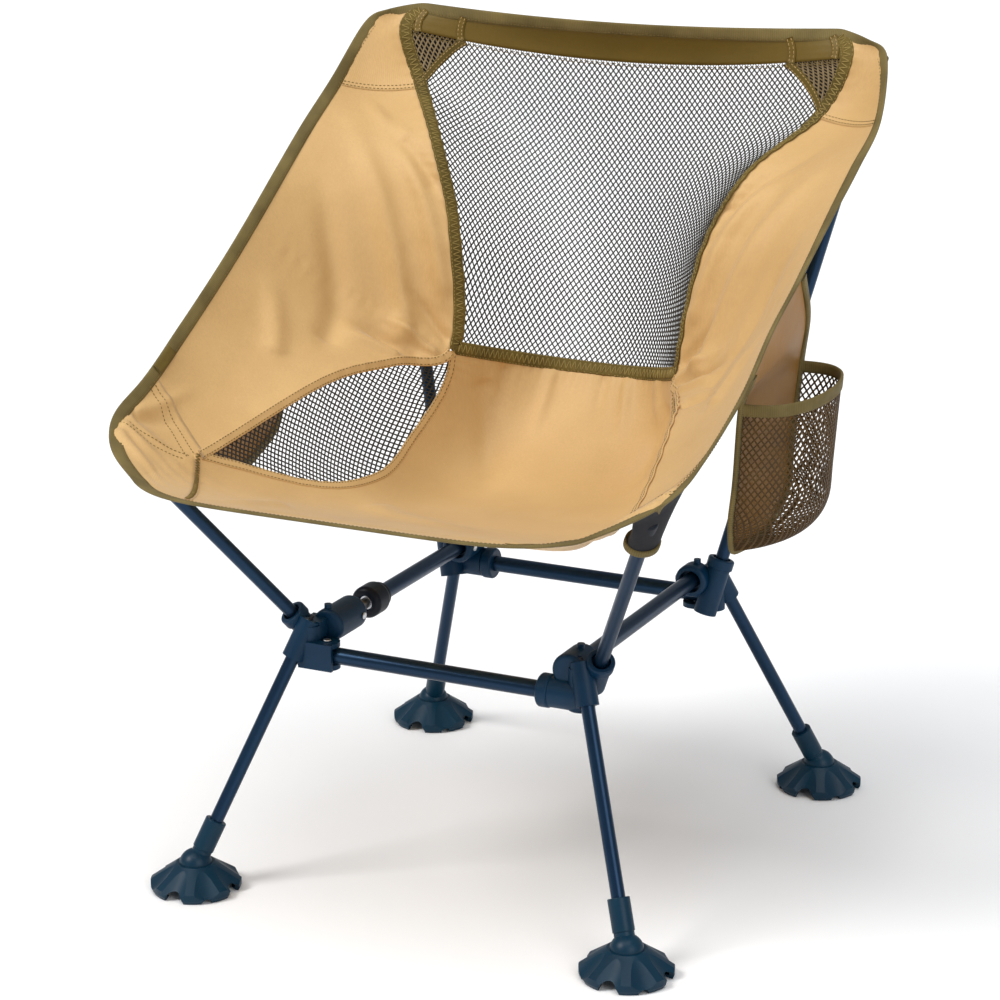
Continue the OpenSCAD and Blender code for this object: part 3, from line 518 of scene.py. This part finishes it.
def grid_normals(grid):
    across = np.gradient(grid, axis=1)
    down = np.gradient(grid, axis=0)
    return unit(np.cross(down, across))


def grid_lengths(grid):
    """Distances along the middle row and down the middle column, as UVs in metres."""
    row = grid[grid.shape[0] // 2]
    column = grid[:, grid.shape[1] // 2]
    across = np.concatenate([[0], np.cumsum(np.linalg.norm(np.diff(row, axis=0), axis=1))])
    down = np.concatenate([[0], np.cumsum(np.linalg.norm(np.diff(column, axis=0), axis=1))])
    return np.stack(np.meshgrid(across, down), axis=-1) * 0.001


def plate_faces(rows, cols):
    """Quads of a closed plate: one side's grid, the other side's, and the rim."""
    i, j = np.meshgrid(np.arange(rows - 1), np.arange(cols - 1), indexing="ij")
    a = (i * cols + j).ravel()
    near = np.stack([a, a + cols, a + cols + 1, a + 1], axis=1)
    far = rows * cols
    back = near[:, ::-1] + far
    rim = []
    edge = ([k for k in range(cols)]
            + [r * cols + cols - 1 for r in range(1, rows)]
            + [(rows - 1) * cols + k for k in range(cols - 2, -1, -1)]
            + [r * cols for r in range(rows - 2, 0, -1)])
    for k, start in enumerate(edge):
        end = edge[(k + 1) % len(edge)]
        rim.append((start, end, end + far, start + far))
    return np.concatenate([near, back, np.array(rim)])


def cloth_piece(name, grid, thickness, material, replaces=()):
    """A panel of cloth from a grid of points in millimetres, made as a thin closed plate."""
    normals = grid_normals(grid) * thickness / 2
    rows, cols = grid.shape[:2]
    points = np.concatenate([(grid + normals).reshape(-1, 3), (grid - normals).reshape(-1, 3)])
    uvs = grid_lengths(grid).reshape(-1, 2)
    obj = new_object(name, metres(points), plate_faces(rows, cols), material, np.concatenate([uvs, uvs]))
    if replaces:
        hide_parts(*replaces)
    return obj


def net_piece(name, grid, pitch, step, hole, thickness, material, replaces=(), reference=None):
    """A knitted net of diamond cells over a grid of points in millimetres.

    Rows of knots lie step apart down the reference column, and knots lie pitch apart in a row;
    hole is the share of a cell that is open.
    """
    reference = grid.shape[1] // 2 if reference is None else reference
    normals = grid_normals(grid)
    column = grid[:, reference]
    down = np.concatenate([[0], np.cumsum(np.linalg.norm(np.diff(column, axis=0), axis=1))])
    row_count = int(down[-1] / step) + 1
    knots, points, faces = {}, [], []
    normal_list, uv_list = [], []

    def add_point(point, normal, uv):
        points.append(point)
        normal_list.append(normal)
        uv_list.append(uv)
        return len(points) - 1

    rows = []
    for j in range(row_count + 1):
        s = min(j * step, down[-1])
        place = np.interp(s, down, np.arange(len(down)))
        k = min(int(place), len(down) - 2)
        t = place - k
        line = grid[k] * (1 - t) + grid[k + 1] * t
        facing = unit(normals[k] * (1 - t) + normals[k + 1] * t)
        run = np.concatenate([[0], np.cumsum(np.linalg.norm(np.diff(line, axis=0), axis=1))])
        rows.append((line, facing, run - run[reference]))

    def knot(i, j):
        if (i, j) not in knots:
            line, facing, run = rows[j]
            x = np.clip(i * pitch / 2, run[0], run[-1])
            point = np.array([np.interp(x, run, line[:, c]) for c in range(3)])
            normal = unit(np.array([np.interp(x, run, facing[:, c]) for c in range(3)]))
            knots[i, j] = add_point(point, normal, (i * pitch / 2, j * step))
        return knots[i, j]

    cells = []
    for j in range(1, row_count):
        run = rows[j][2]
        for i in range(int(run[0] / pitch * 2) - 1, int(run[-1] / pitch * 2) + 2):
            x = i * pitch / 2
            if (i + j) % 2 == 1 and run[0] + pitch * 0.15 < x < run[-1] - pitch * 0.15:
                cells.append([knot(i - 1, j), knot(i, j + 1), knot(i + 1, j), knot(i, j - 1)])
    cells = np.array(cells)
    points, normal_list, uv_list = (np.array(a) for a in (points, normal_list, uv_list))
    corners = points[cells]
    middles = corners.mean(axis=1, keepdims=True)
    opening = math.sqrt(hole)
    rims = middles + (corners - middles) * opening
    first_rim = len(points)
    rim_ids = first_rim + np.arange(len(cells) * 4).reshape(-1, 4)
    points = np.concatenate([points, rims.reshape(-1, 3)])
    normal_list = np.concatenate([normal_list, normal_list[cells].reshape(-1, 3)])
    uv_middles = uv_list[cells].mean(axis=1, keepdims=True)
    uv_rims = uv_middles + (uv_list[cells] - uv_middles) * opening
    uv_list = np.concatenate([uv_list, uv_rims.reshape(-1, 2)])
    far = len(points)
    for k in range(4):
        n = (k + 1) % 4
        faces.append(np.stack([cells[:, k], cells[:, n], rim_ids[:, n], rim_ids[:, k]], axis=1))
    near = np.concatenate(faces)
    walls = np.concatenate([
        np.stack([rim_ids[:, k], rim_ids[:, (k + 1) % 4], rim_ids[:, (k + 1) % 4] + far, rim_ids[:, k] + far],
                 axis=1)
        for k in range(4)
    ])
    # open edges of the outermost cells are closed with a thin wall
    sides = np.concatenate([np.stack([cells[:, k], cells[:, (k + 1) % 4]], axis=1) for k in range(4)])
    keys = {}
    for a, b in sides.tolist():
        keys[(min(a, b), max(a, b))] = None if (min(a, b), max(a, b)) in keys else (a, b)
    outer = np.array([pair for pair in keys.values() if pair is not None])
    border = np.stack([outer[:, 1], outer[:, 0], outer[:, 0] + far, outer[:, 1] + far], axis=1)
    both = np.concatenate([points + normal_list * thickness / 2, points - normal_list * thickness / 2])
    all_faces = np.concatenate([near, near[:, ::-1] + far, walls, border])
    obj = new_object(name, metres(both), all_faces, material,
                     np.concatenate([uv_list, uv_list]) * 0.001, smooth_shaded=False)
    if replaces:
        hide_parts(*replaces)
    return obj


def polyline(points, spacing):
    """Even steps along a line of points, with the points' other columns carried along."""
    points = np.asarray(points, float)
    run = np.concatenate([[0], np.cumsum(np.linalg.norm(np.diff(points[:, :3], axis=0), axis=1))])
    count = max(int(round(run[-1] / spacing)), 2)
    places = np.linspace(0, run[-1], count + 1)
    return np.stack([np.interp(places, run, points[:, c]) for c in range(points.shape[1])], axis=1)


def on_cloth(path, spacing=3.0, lift=0.0):
    """Points and inward normals along a path of (u, v) places, in one array of six columns."""
    path = np.asarray(path, float)
    fine = np.concatenate([
        np.linspace(path[k], path[k + 1], 24, endpoint=False) for k in range(len(path) - 1)
    ] + [path[-1:]])
    points = cloth(fine[:, 0], fine[:, 1], lift)
    normals = inward(fine[:, 0], fine[:, 1])
    return polyline(np.concatenate([points, normals], axis=1), spacing)


def ribbon(name, line, profile, material, replaces=(), closed=False):
    """A strip with a closed cross-section of (across, up) millimetres, swept along a line."""
    points, normals = line[:, :3], unit(line[:, 3:6])
    if closed:
        tangents = unit(np.roll(points, -1, axis=0) - np.roll(points, 1, axis=0))
    else:
        tangents = unit(np.gradient(points, axis=0))
    across = unit(np.cross(tangents, normals))
    up = np.cross(across, tangents)
    profile = np.asarray(profile, float)
    rings = (points[:, None] + across[:, None] * profile[None, :, :1] + up[:, None] * profile[None, :, 1:])
    n, sides = len(points), len(profile)
    run = np.concatenate([[0], np.cumsum(np.linalg.norm(np.diff(points, axis=0), axis=1))]) * 0.001
    uvs = np.stack(np.broadcast_arrays(profile[None, :, 0] * 0.001, run[:, None]), axis=-1)
    faces = []
    for k in range(n if closed else n - 1):
        here, there = k * sides, (k + 1) % n * sides
        for s in range(sides):
            e = (s + 1) % sides
            faces.append((here + s, here + e, there + e, there + s))
    if not closed:
        for s in range(1, sides // 2):
            faces.append((s - 1, s, sides - s - 1, sides - s))
            end = (n - 1) * sides
            faces.append((end + sides - s, end + sides - s - 1, end + s, end + s - 1))
    obj = new_object(name, metres(rings.reshape(-1, 3)), faces, material, uvs.reshape(-1, 2))
    if replaces:
        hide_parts(*replaces)
    return obj


def flat_profile(width, thickness, offset=0.0, lift=0.0):
    """Closed outline of a thin tape with rounded edges, an even number of points."""
    half, t = width / 2, thickness / 2
    top = [(-half, 0.3 * t), (-half * 0.9, t), (-half * 0.4, t * 1.1), (half * 0.4, t * 1.1),
           (half * 0.9, t), (half, 0.3 * t)]
    under = [(x, -y) for x, y in reversed(top)]
    return [(x + offset, y + lift) for x, y in top + under]


def bead(start, end, normal, radius):
    """Points and faces of one small stitch lying from start to end."""
    along = end - start
    side = unit(np.cross(along, normal))
    up = unit(np.cross(side, along))
    sides = 6
    angles = np.arange(sides) * 2 * math.pi / sides
    ring = side * np.cos(angles)[:, None] + up * np.sin(angles)[:, None]
    points = [start - up * radius]
    for t, swell in ((0.18, 0.85), (0.5, 1.0), (0.82, 0.85)):
        points.extend(start + along * t + ring * radius * swell)
    points.append(end - up * radius)
    faces = []
    for s in range(sides):
        e = (s + 1) % sides
        faces.append((0, 1 + e, 1 + s, 1 + s))
        for r in range(2):
            a, b = 1 + r * sides, 1 + (r + 1) * sides
            faces.append((a + s, a + e, b + e, b + s))
        last = 1 + 3 * sides
        faces.append((last, 1 + 2 * sides + s, 1 + 2 * sides + e, 1 + 2 * sides + e))
    return points, faces


def thread_object(name, stitches, material):
    """One object holding many stitches, each (start, end, normal, radius)."""
    points, quads, triangles = [], [], []
    for start, end, normal, radius in stitches:
        made, faces = bead(start, end, normal, radius)
        base = len(points)
        points.extend(made)
        for face in faces:
            corners = list(dict.fromkeys(face))
            (quads if len(corners) == 4 else triangles).append([base + c for c in corners])
    mesh = bpy.data.meshes.new(name)
    mesh.from_pydata(metres(np.array(points)).tolist(), [], quads + triangles)
    mesh.polygons.foreach_set("use_smooth", [True] * len(mesh.polygons))
    mesh.materials.append(MATERIALS[material])
    obj = bpy.data.objects.new(name, mesh)
    bpy.context.collection.objects.link(obj)
    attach(obj, "root")
    return obj


def straight_stitches(line, pitch=3.4, gap=0.9, radius=0.38, shift=0.0, lift=0.35):
    """A row of stitches along a six-column line, moved sideways by shift."""
    even = polyline(line, pitch)
    points, normals = even[:, :3], unit(even[:, 3:6])
    tangents = unit(np.gradient(points, axis=0))
    across = unit(np.cross(tangents, normals))
    points = points + across * shift + normals * lift
    made = []
    for k in range(len(points) - 1):
        run = unit(points[k + 1] - points[k])
        made.append((points[k] + run * gap / 2, points[k + 1] - run * gap / 2, normals[k], radius))
    return made


def double_row(line, first, second, lift):
    """Two rows of stitches along one line, at two sideways shifts."""
    return straight_stitches(line, shift=first, lift=lift) + straight_stitches(line, shift=second, lift=lift)


def zigzag_stitches(line, width, pitch=2.6, radius=0.38, shift=0.0, lift=0.35):
    """A zigzag of stitches across a tape."""
    even = polyline(line, pitch)
    points, normals = even[:, :3], unit(even[:, 3:6])
    tangents = unit(np.gradient(points, axis=0))
    across = unit(np.cross(tangents, normals))
    swing = np.where(np.arange(len(points)) % 2 == 0, 1, -1)[:, None] * width / 2
    points = points + across * (shift + swing) + normals * lift
    return [(points[k], points[k + 1], normals[k], radius) for k in range(len(points) - 1)]


# ---- Sling panels ------------------------------------------------------------------------

CLOTH_THICKNESS = 0.7
NET_THICKNESS = 0.5


def span(first, last, count):
    return np.linspace(first, last, count)


def leaf_edge(v):
    """Inner edge of a seat net, as a share of the way from the middle to the seam."""
    return spline(LEAF, (v - FOLD_ROW) * (len(LEAF) - 1) / (TIP_ROW - FOLD_ROW))


def corner_cut(v):
    """Upper outer edge of the back net, where the corner nets start."""
    return np.interp(v, [BAND_ROW, PATCH_ROW], [0.72, 1.0])


def wing_end(t):
    """Row where a wing meets the front corner patch, from the seam (t = 0) to the edge (t = 1)."""
    return TIP_ROW - 0.25 * t


def patch_side(v):
    """Inner edge of a front corner patch, which runs in under the seat's seam."""
    return 1 - 0.33 * np.clip(v - TIP_ROW, 0, 1)


def panel_grid(rows, cols, place, lift=0.0):
    """Grid of cloth points; place(s, t) gives (u, v) for shares s across and t down."""
    t, s = np.meshgrid(span(0, 1, rows), span(0, 1, cols), indexing="ij")
    u, v = place(s, t)
    return cloth(u, v, lift)


def add_back():
    def back_place(s, t):
        v = BAND_ROW - 0.03 + (FOLD_ROW + 0.02 - BAND_ROW + 0.03) * t
        return (2 * s - 1) * corner_cut(v), v

    net_piece("back_mesh_net", panel_grid(90, 81, back_place, -0.5), 4.9, 3.2, 0.52, NET_THICKNESS,
              "net", ["back_mesh"])

    def band_place(s, t):
        return (2 * s - 1) * 1.0, BAND_ROW * t

    cloth_piece("top_band_cloth", panel_grid(14, 121, band_place, 0.2), 1.0, "band", ["top_band"])
    for side, sign in SIDES.items():
        def corner_place(s, t, sign=sign):
            v = BAND_ROW - 0.03 + (PATCH_ROW + 0.02 - BAND_ROW + 0.03) * t
            return sign * (corner_cut(v) + (1 - corner_cut(v)) * s), v

        def lining_place(s, t, sign=sign):
            u, v = corner_place(s, t)
            return u, v

        net_piece(f"corner_mesh_net_{side}", panel_grid(24, 16, corner_place), 4.6, 3.6, 0.46, 0.6,
                  "corner_net", [f"corner_mesh_{side}"], reference=0 if sign > 0 else 15)
        cloth_piece(f"corner_lining_{side}", panel_grid(14, 10, lining_place, -2.0), 0.5, "backing")


def add_seat():
    def seat_place(s, t):
        v = FOLD_ROW + (LAST_ROW - FOLD_ROW) * t
        reach = np.where(v <= TIP_ROW, np.minimum(leaf_edge(np.minimum(v, TIP_ROW)), 1), 1)
        return (2 * s - 1) * reach, v

    cloth_piece("seat_cloth", panel_grid(130, 111, seat_place), CLOTH_THICKNESS, "tan", ["seat_panel"])
    for side, sign in SIDES.items():
        def leaf_place(s, t, sign=sign):
            v = FOLD_ROW + 0.04 + (TIP_ROW - 0.04 - FOLD_ROW) * t
            inner = np.minimum(leaf_edge(v), 1) - 0.01
            return sign * (inner + (1.01 - inner) * s), v

        net_piece(f"seat_mesh_net_{side}", panel_grid(90, 22, leaf_place, -0.4), 5.4, 2.9, 0.50,
                  NET_THICKNESS, "net", [f"seat_mesh_{side}"], reference=21)


def add_wings():
    for side, sign in SIDES.items():
        def wing_place(s, t, sign=sign):
            v = PATCH_ROW + (wing_end(s) - PATCH_ROW) * t
            return sign * (1 + s), v

        cloth_piece(f"wing_cloth_{side}", panel_grid(150, 60, wing_place), CLOTH_THICKNESS, "tan",
                    [f"wing_{side}"])

        def patch_place(s, t, sign=sign):
            return sign * (1 + s), 0.02 + (PATCH_ROW + 0.06 - 0.02) * t

        cloth_piece(f"back_corner_patch_{side}", panel_grid(44, 36, patch_place, 0.5), 1.0, "tan",
                    [f"back_corner_pocket_{side}"])

        def front_place(s, t, sign=sign):
            start = wing_end(s) - 0.05
            v = start + (LAST_ROW - 0.01 - start) * t
            return sign * (patch_side(v) + (2 - patch_side(v)) * s), v

        cloth_piece(f"front_corner_patch_{side}", panel_grid(40, 44, front_place, 0.5), 1.0, "tan",
                    [f"front_corner_pocket_{side}"])


def edge_path():
    """The sling's outline as (u, v) places, once round from the left end of the top edge."""
    top = [(u, 0.0) for u in span(-2, 2, 9)]
    right = [(2.0, v) for v in span(0, LAST_ROW, 19)[1:]]
    front = [(u, LAST_ROW) for u in span(2, -2, 9)[1:]]
    left = [(-2.0, v) for v in span(LAST_ROW, 0, 19)[1:-1]]
    return top + right + front + left


def add_binding():
    """Folded tape round the whole edge, with its stitch line near the inner edge."""
    path = edge_path()
    line = on_cloth(path + path[:1], 3.0)[:-1]
    # tape can't turn sharply at the corners
    for _ in range(2):
        line = (np.roll(line, 1, axis=0) + 2 * line + np.roll(line, -1, axis=0)) / 4
    inner, outer, thick = -9.0, 1.8, 1.15
    profile = [(inner, 0.5), (inner + 0.4, thick), (-5, thick * 1.05), (0, thick * 1.1), (1.1, 0.8),
               (outer, 0.25), (outer, -0.25), (1.1, -0.8), (0, -thick * 1.1), (-5, -thick * 1.05),
               (inner + 0.4, -thick), (inner, -0.5)]
    profile = [(-x, y) for x, y in profile]
    ribbon("edge_binding_tape", line, profile, "binding", ["edge_binding"], closed=True)
    loop = np.concatenate([line, line[:1]])
    stitches = straight_stitches(loop, shift=7.4, lift=1.25, radius=0.34)
    stitches += straight_stitches(loop, shift=7.4, lift=-1.25, radius=0.34)
    thread_object("edge_binding_stitches", stitches, "olive_thread")


def add_back_seam_tape():
    """Overlocked tape down both sides of the back net and along its lower edge."""
    tape_u = 0.985
    tape_path = ([(-tape_u, v) for v in span(BAND_ROW - 0.75, FOLD_ROW, 16)]
                 + [(u, FOLD_ROW) for u in span(-0.9, 0.9, 9)]
                 + [(tape_u, v) for v in span(FOLD_ROW, BAND_ROW - 0.75, 16)])
    line = on_cloth(tape_path, 3.0)
    ribbon("back_seam_tape_strip", line, flat_profile(11.5, 1.6, 0, 0.5), "seam_tape", ["back_seam_tape"])
    stitches = zigzag_stitches(line, 8.5, 2.4, 0.42, 0, 1.5)
    stitches += straight_stitches(line, 3.0, 0.5, 0.4, 5.0, 1.1)
    stitches += straight_stitches(line, 3.0, 0.5, 0.4, -5.0, 1.1)
    thread_object("back_seam_stitches", stitches, "mustard_thread")


def add_seams():
    """Stitch lines sewn through the tan panels, and the folded seams beside the nets."""
    tan, olive = [], []
    for side, sign in SIDES.items():
        leaf_rows = span(FOLD_ROW + 0.06, TIP_ROW - 0.02, 24)
        lower = [(sign * min(float(leaf_edge(np.array(v))), 1.0), v) for v in leaf_rows]
        upper = [(sign, v) for v in leaf_rows]
        lower_line, upper_line = on_cloth(lower, 3.0), on_cloth(upper, 3.0)
        ribbon(f"seat_net_hem_{side}", lower_line, flat_profile(7.5, 1.3, 0, 0.4), "tan")
        ribbon(f"wing_seam_tape_{side}", upper_line, flat_profile(8.0, 1.3, 1.5 * sign, 0.4), "tan")
        olive += double_row(lower_line, 2.4, -2.4, 1.1)
        olive += double_row(upper_line, 4.0 * sign, -1.2 * sign, 1.1)
        # curved double rows on the top patch
        for v in (PATCH_ROW - 0.02, PATCH_ROW + 0.03):
            olive += straight_stitches(on_cloth([(sign * u, v) for u in span(1.04, 1.93, 12)], 3.0), lift=1.1)
        # double rows where the front patch meets the wing, and across it
        for shift in (0.03, 0.11):
            row = [(sign * (1 + k), wing_end(k) + shift) for k in span(0.03, 0.93, 8)]
            olive += straight_stitches(on_cloth(row, 3.0), lift=1.1)
            cross = [(sign * (1 + k), TIP_ROW + 0.02 + shift + 0.62 * k) for k in span(0.03, 0.90, 8)]
            olive += straight_stitches(on_cloth(cross, 3.0), lift=1.1)
        front_seam = on_cloth([(sign * patch_side(v), v) for v in span(TIP_ROW, LAST_ROW - 0.14, 6)], 3.0)
        ribbon(f"front_seam_tape_{side}", front_seam, flat_profile(6.5, 0.8, 0, 0.5), "tan")
        olive += zigzag_stitches(front_seam, 4.6, 1.6, 0.38, 0, 1.6)
        # short tapes at the ends of the top band
        for u in (0.93, 0.74):
            end = on_cloth([(sign * (u + 0.03 * (1 - v)), v) for v in span(0.25, 1.0, 4)], 3.0)
            ribbon(f"band_end_tape_{side}_{int(u * 100)}", end, flat_profile(6.5, 1.2, 0, 1.2), "band")
            tan += double_row(end, 1.7, -1.7, 2.0)
        # hem between the corner net and the back net
        cut = on_cloth([(sign * float(corner_cut(np.array(v))), v) for v in span(BAND_ROW, PATCH_ROW, 6)], 3.0)
        ribbon(f"corner_net_hem_{side}", cut, flat_profile(7.0, 1.2, 0, 0.5), "seam_tape")
        tan += double_row(cut, 2.0, -2.0, 1.2)
    band_hem = on_cloth([(u, BAND_ROW) for u in span(-0.97, 0.97, 12)], 3.0)
    olive += double_row(band_hem, 1.6, 3.4, 0.9)
    thread_object("tan_seam_stitches", tan, "tan_thread")
    thread_object("olive_seam_stitches", olive, "olive_thread")


POLE_TIP = np.array([215.0, -234.0, 368.0])
POLE_BASE = np.array([123.0, -119.0, 198.0])


def add_pole_pouches():
    """Dark tent of lining under each front corner that takes a pole's end, with a bound mouth."""
    rise = unit(POLE_TIP - POLE_BASE)
    side_way = unit(np.cross(rise, (0, 0, 1)))
    out_way = np.cross(side_way, rise)
    sides, rows = 36, 12
    angles = np.arange(sides) * 2 * math.pi / sides
    for side, sign in SIDES.items():
        mouth_centre = POLE_TIP - rise * 25
        mouth = mouth_centre + (np.cos(angles)[:, None] * 12.5 * side_way
                                + np.sin(angles)[:, None] * 10.0 * out_way)
        u, v = 1.70 + 0.25 * np.cos(angles), 8.62 + 0.27 * np.sin(angles)
        top = sling(u, v) - inward(u, v) * 1.6
        # start both rings at the same side, going the same way round
        start = int(np.argmin(np.linalg.norm(top - mouth[0] - (top.mean(0) - mouth_centre), axis=1)))
        ways = [np.roll(top, -start, axis=0), np.roll(top[::-1], start + 1, axis=0)]
        top = min(ways, key=lambda ring: np.linalg.norm(ring - mouth, axis=1).sum())
        share = span(0, 1, rows)[:, None, None]
        shell = mouth + (top - mouth) * share ** 1.9
        centre = shell.mean(axis=1, keepdims=True)
        inner = centre + (shell - centre) * 0.93
        faces, far = [], rows * sides
        for r in range(rows - 1):
            for k in range(sides):
                e = (k + 1) % sides
                a, b, c, d = r * sides + k, r * sides + e, (r + 1) * sides + e, (r + 1) * sides + k
                faces += [(a, b, c, d), (far + d, far + c, far + b, far + a)]
        for r in (0, rows - 1):
            for k in range(sides):
                e = (k + 1) % sides
                faces.append((r * sides + k, far + r * sides + k, far + r * sides + e, r * sides + e))
        points = mirrored(np.concatenate([shell.reshape(-1, 3), inner.reshape(-1, 3)]), sign)
        cup = new_object(f"front_pole_cup_{side}", metres(points), faces, "backing")
        line = mirrored(mouth, sign)
        line = np.concatenate([line, unit(line - mirrored(mouth_centre, sign))], axis=1)
        ribbon(f"front_cup_mouth_{side}", line, flat_profile(7.0, 2.0), "binding", closed=True)


def add_label_loop():
    line = on_cloth([(-1.965, v) for v in span(7.34, 7.68, 4)], 2.0)
    ribbon("label_loop_tape", line, flat_profile(9.0, 1.4, 0, 2.4), "seam_tape", ["label_loop"])


# ---- Side pockets ------------------------------------------------------------------------

FLAP_FRONT = [(228, -106, 313), (228, -109, 336), (228, -101, 365), (228, -92, 421), (235, -96, 435),
              (240, -100, 447)]
FLAP_REAR = [(228, -38, 308), (228, 10, 330), (228, 17, 364), (228, 34, 427), (236, 24, 466),
             (242, -5, 504)]
FLAP_ROWS = len(FLAP_FRONT) - 1
RIM_ROW = 3
POCKET_BULGE = 46.0


def flap(k, s, lift=0.0):
    """The flap's sheet: k from its front to its rear edge, s from its bottom up."""
    k, s = np.broadcast_arrays(np.asarray(k, float), np.asarray(s, float))
    front, rear = spline(FLAP_FRONT, s), spline(FLAP_REAR, s)
    points = front + (rear - front) * k[..., None]
    slack = 2.5 * np.sin(k * math.pi) * np.sin(s * 2.1 + 0.5)
    return points + np.stack([slack + lift, 0 * k, 0 * k], axis=-1)


def pouch(a, s):
    """The pouch's sheet: a from 0 at the flap's front edge to 1 at its rear edge."""
    a, s = np.broadcast_arrays(np.asarray(a, float), np.asarray(s, float))
    front, rear = spline(FLAP_FRONT, s), spline(FLAP_REAR, s)
    angle = a * math.pi
    bulge = 0.6 + POCKET_BULGE * (1 - (1 - np.minimum(s / RIM_ROW, 1)) ** 6) ** 0.5
    along = front + (rear - front) * ((1 - np.cos(angle)) / 2)[..., None]
    out = np.sin(angle) ** 0.65 * bulge
    return along + np.stack([out + 1.4, 0.12 * out, 0 * out], axis=-1)


def mirrored(points, sign):
    return points * (sign, 1, 1)


def add_side_pockets():
    """Each pocket hangs from the wing's edge: a flap of cloth, and a net pouch on its outer side."""
    for side, sign in SIDES.items():
        def laid(points, sign=sign):
            points = mirrored(points, sign)
            return points if sign > 0 else points[:, ::-1]

        t, s = np.meshgrid(span(0, FLAP_ROWS, 70), span(0, 1, 34), indexing="ij")
        # the flap's colour is painted shade: darker tan for the shade it hangs in
        cloth_piece(f"pocket_flap_cloth_{side}", laid(flap(s, t)), 0.8, "flap", [f"pocket_flap_{side}"])
        t, s = np.meshgrid(span(0.0, RIM_ROW - 0.1, 60), span(0, 1, 71), indexing="ij")
        net_piece(f"side_pocket_net_{side}", laid(pouch(s, t)), 5.2, 3.3, 0.46, 0.6, "pocket_net",
                  [f"side_pocket_{side}"])
        rim = mirrored(pouch(span(0, 1, 80), np.full(80, RIM_ROW - 0.06)), sign)
        facing = unit((rim - rim.mean(axis=0)) * (1, 1, 0))
        rim_line = polyline(np.concatenate([rim, facing], axis=1), 3.0)
        ribbon(f"pocket_rim_tape_{side}", rim_line, flat_profile(9.5, 2.2), "binding")
        rim_stitches = straight_stitches(rim_line, shift=3.2, lift=1.2)
        outer = np.tile((sign * 1.0, 0.0, 0.0), (60, 1))
        # binding round the flap: down its rear edge, along the bottom and up its front edge
        rear = flap(np.ones(60), span(FLAP_ROWS, 0.12, 60), 0.6)
        bottom = flap(span(0.97, 0.03, 60), np.zeros(60), 0.6)
        front = flap(np.zeros(60), span(0.12, FLAP_ROWS, 60), 0.6)
        outline = mirrored(np.concatenate([rear, bottom, front]), sign)
        outline = polyline(np.concatenate([outline, np.tile(outer, (3, 1))], axis=1), 2.5)
        for _ in range(4):
            outline[1:-1] = (outline[:-2] + 2 * outline[1:-1] + outline[2:]) / 4
        ribbon(f"pocket_flap_binding_{side}", outline, flat_profile(8.0, 3.0), "binding")
        rim_stitches += straight_stitches(outline, shift=2.6 * sign, lift=1.65)
        thread_object(f"pocket_stitches_{side}", rim_stitches, "olive_thread")


# ---- CAD nodes ---------------------------------------------------------------------------

def dress_cad_nodes():
    """Gives each CAD node that stays the material of what it is made from."""
    kinds = [
        ("hub_rivets", "metal"), ("hinge_pins", "metal"), ("pole_ferrule", "metal"),
        ("left_bar_insert", "metal"), ("hub_", "hub"), ("front_bar_collar", "hub"),
        ("back_bar_collar", "hub"), ("bar_lock_knob", "knob"), ("leg_cord", "cord"),
        ("ball_sleeve", "foot"), ("foot_", "foot"), ("leg_", "tube"), ("front_bar", "tube"),
        ("back_bar", "tube"), ("left_bar", "tube"), ("right_bar", "tube"),
        ("front_pole_caps", "knob"), ("back_pole_caps", "knob"), ("front_pole", "tube"),
        ("back_pole", "tube"),
    ]
    for name, obj in NODES.items():
        kind = next((k for start, k in kinds if name.startswith(start)), None)
        if kind is not None:
            obj.data.materials.clear()
            obj.data.materials.append(MATERIALS[kind])


add_camera()
MATERIALS = make_materials()
add_studio()
dress_cad_nodes()
add_back()
add_seat()
add_wings()
add_binding()
add_back_seam_tape()
add_seams()
add_label_loop()
add_pole_pouches()
add_side_pockets()
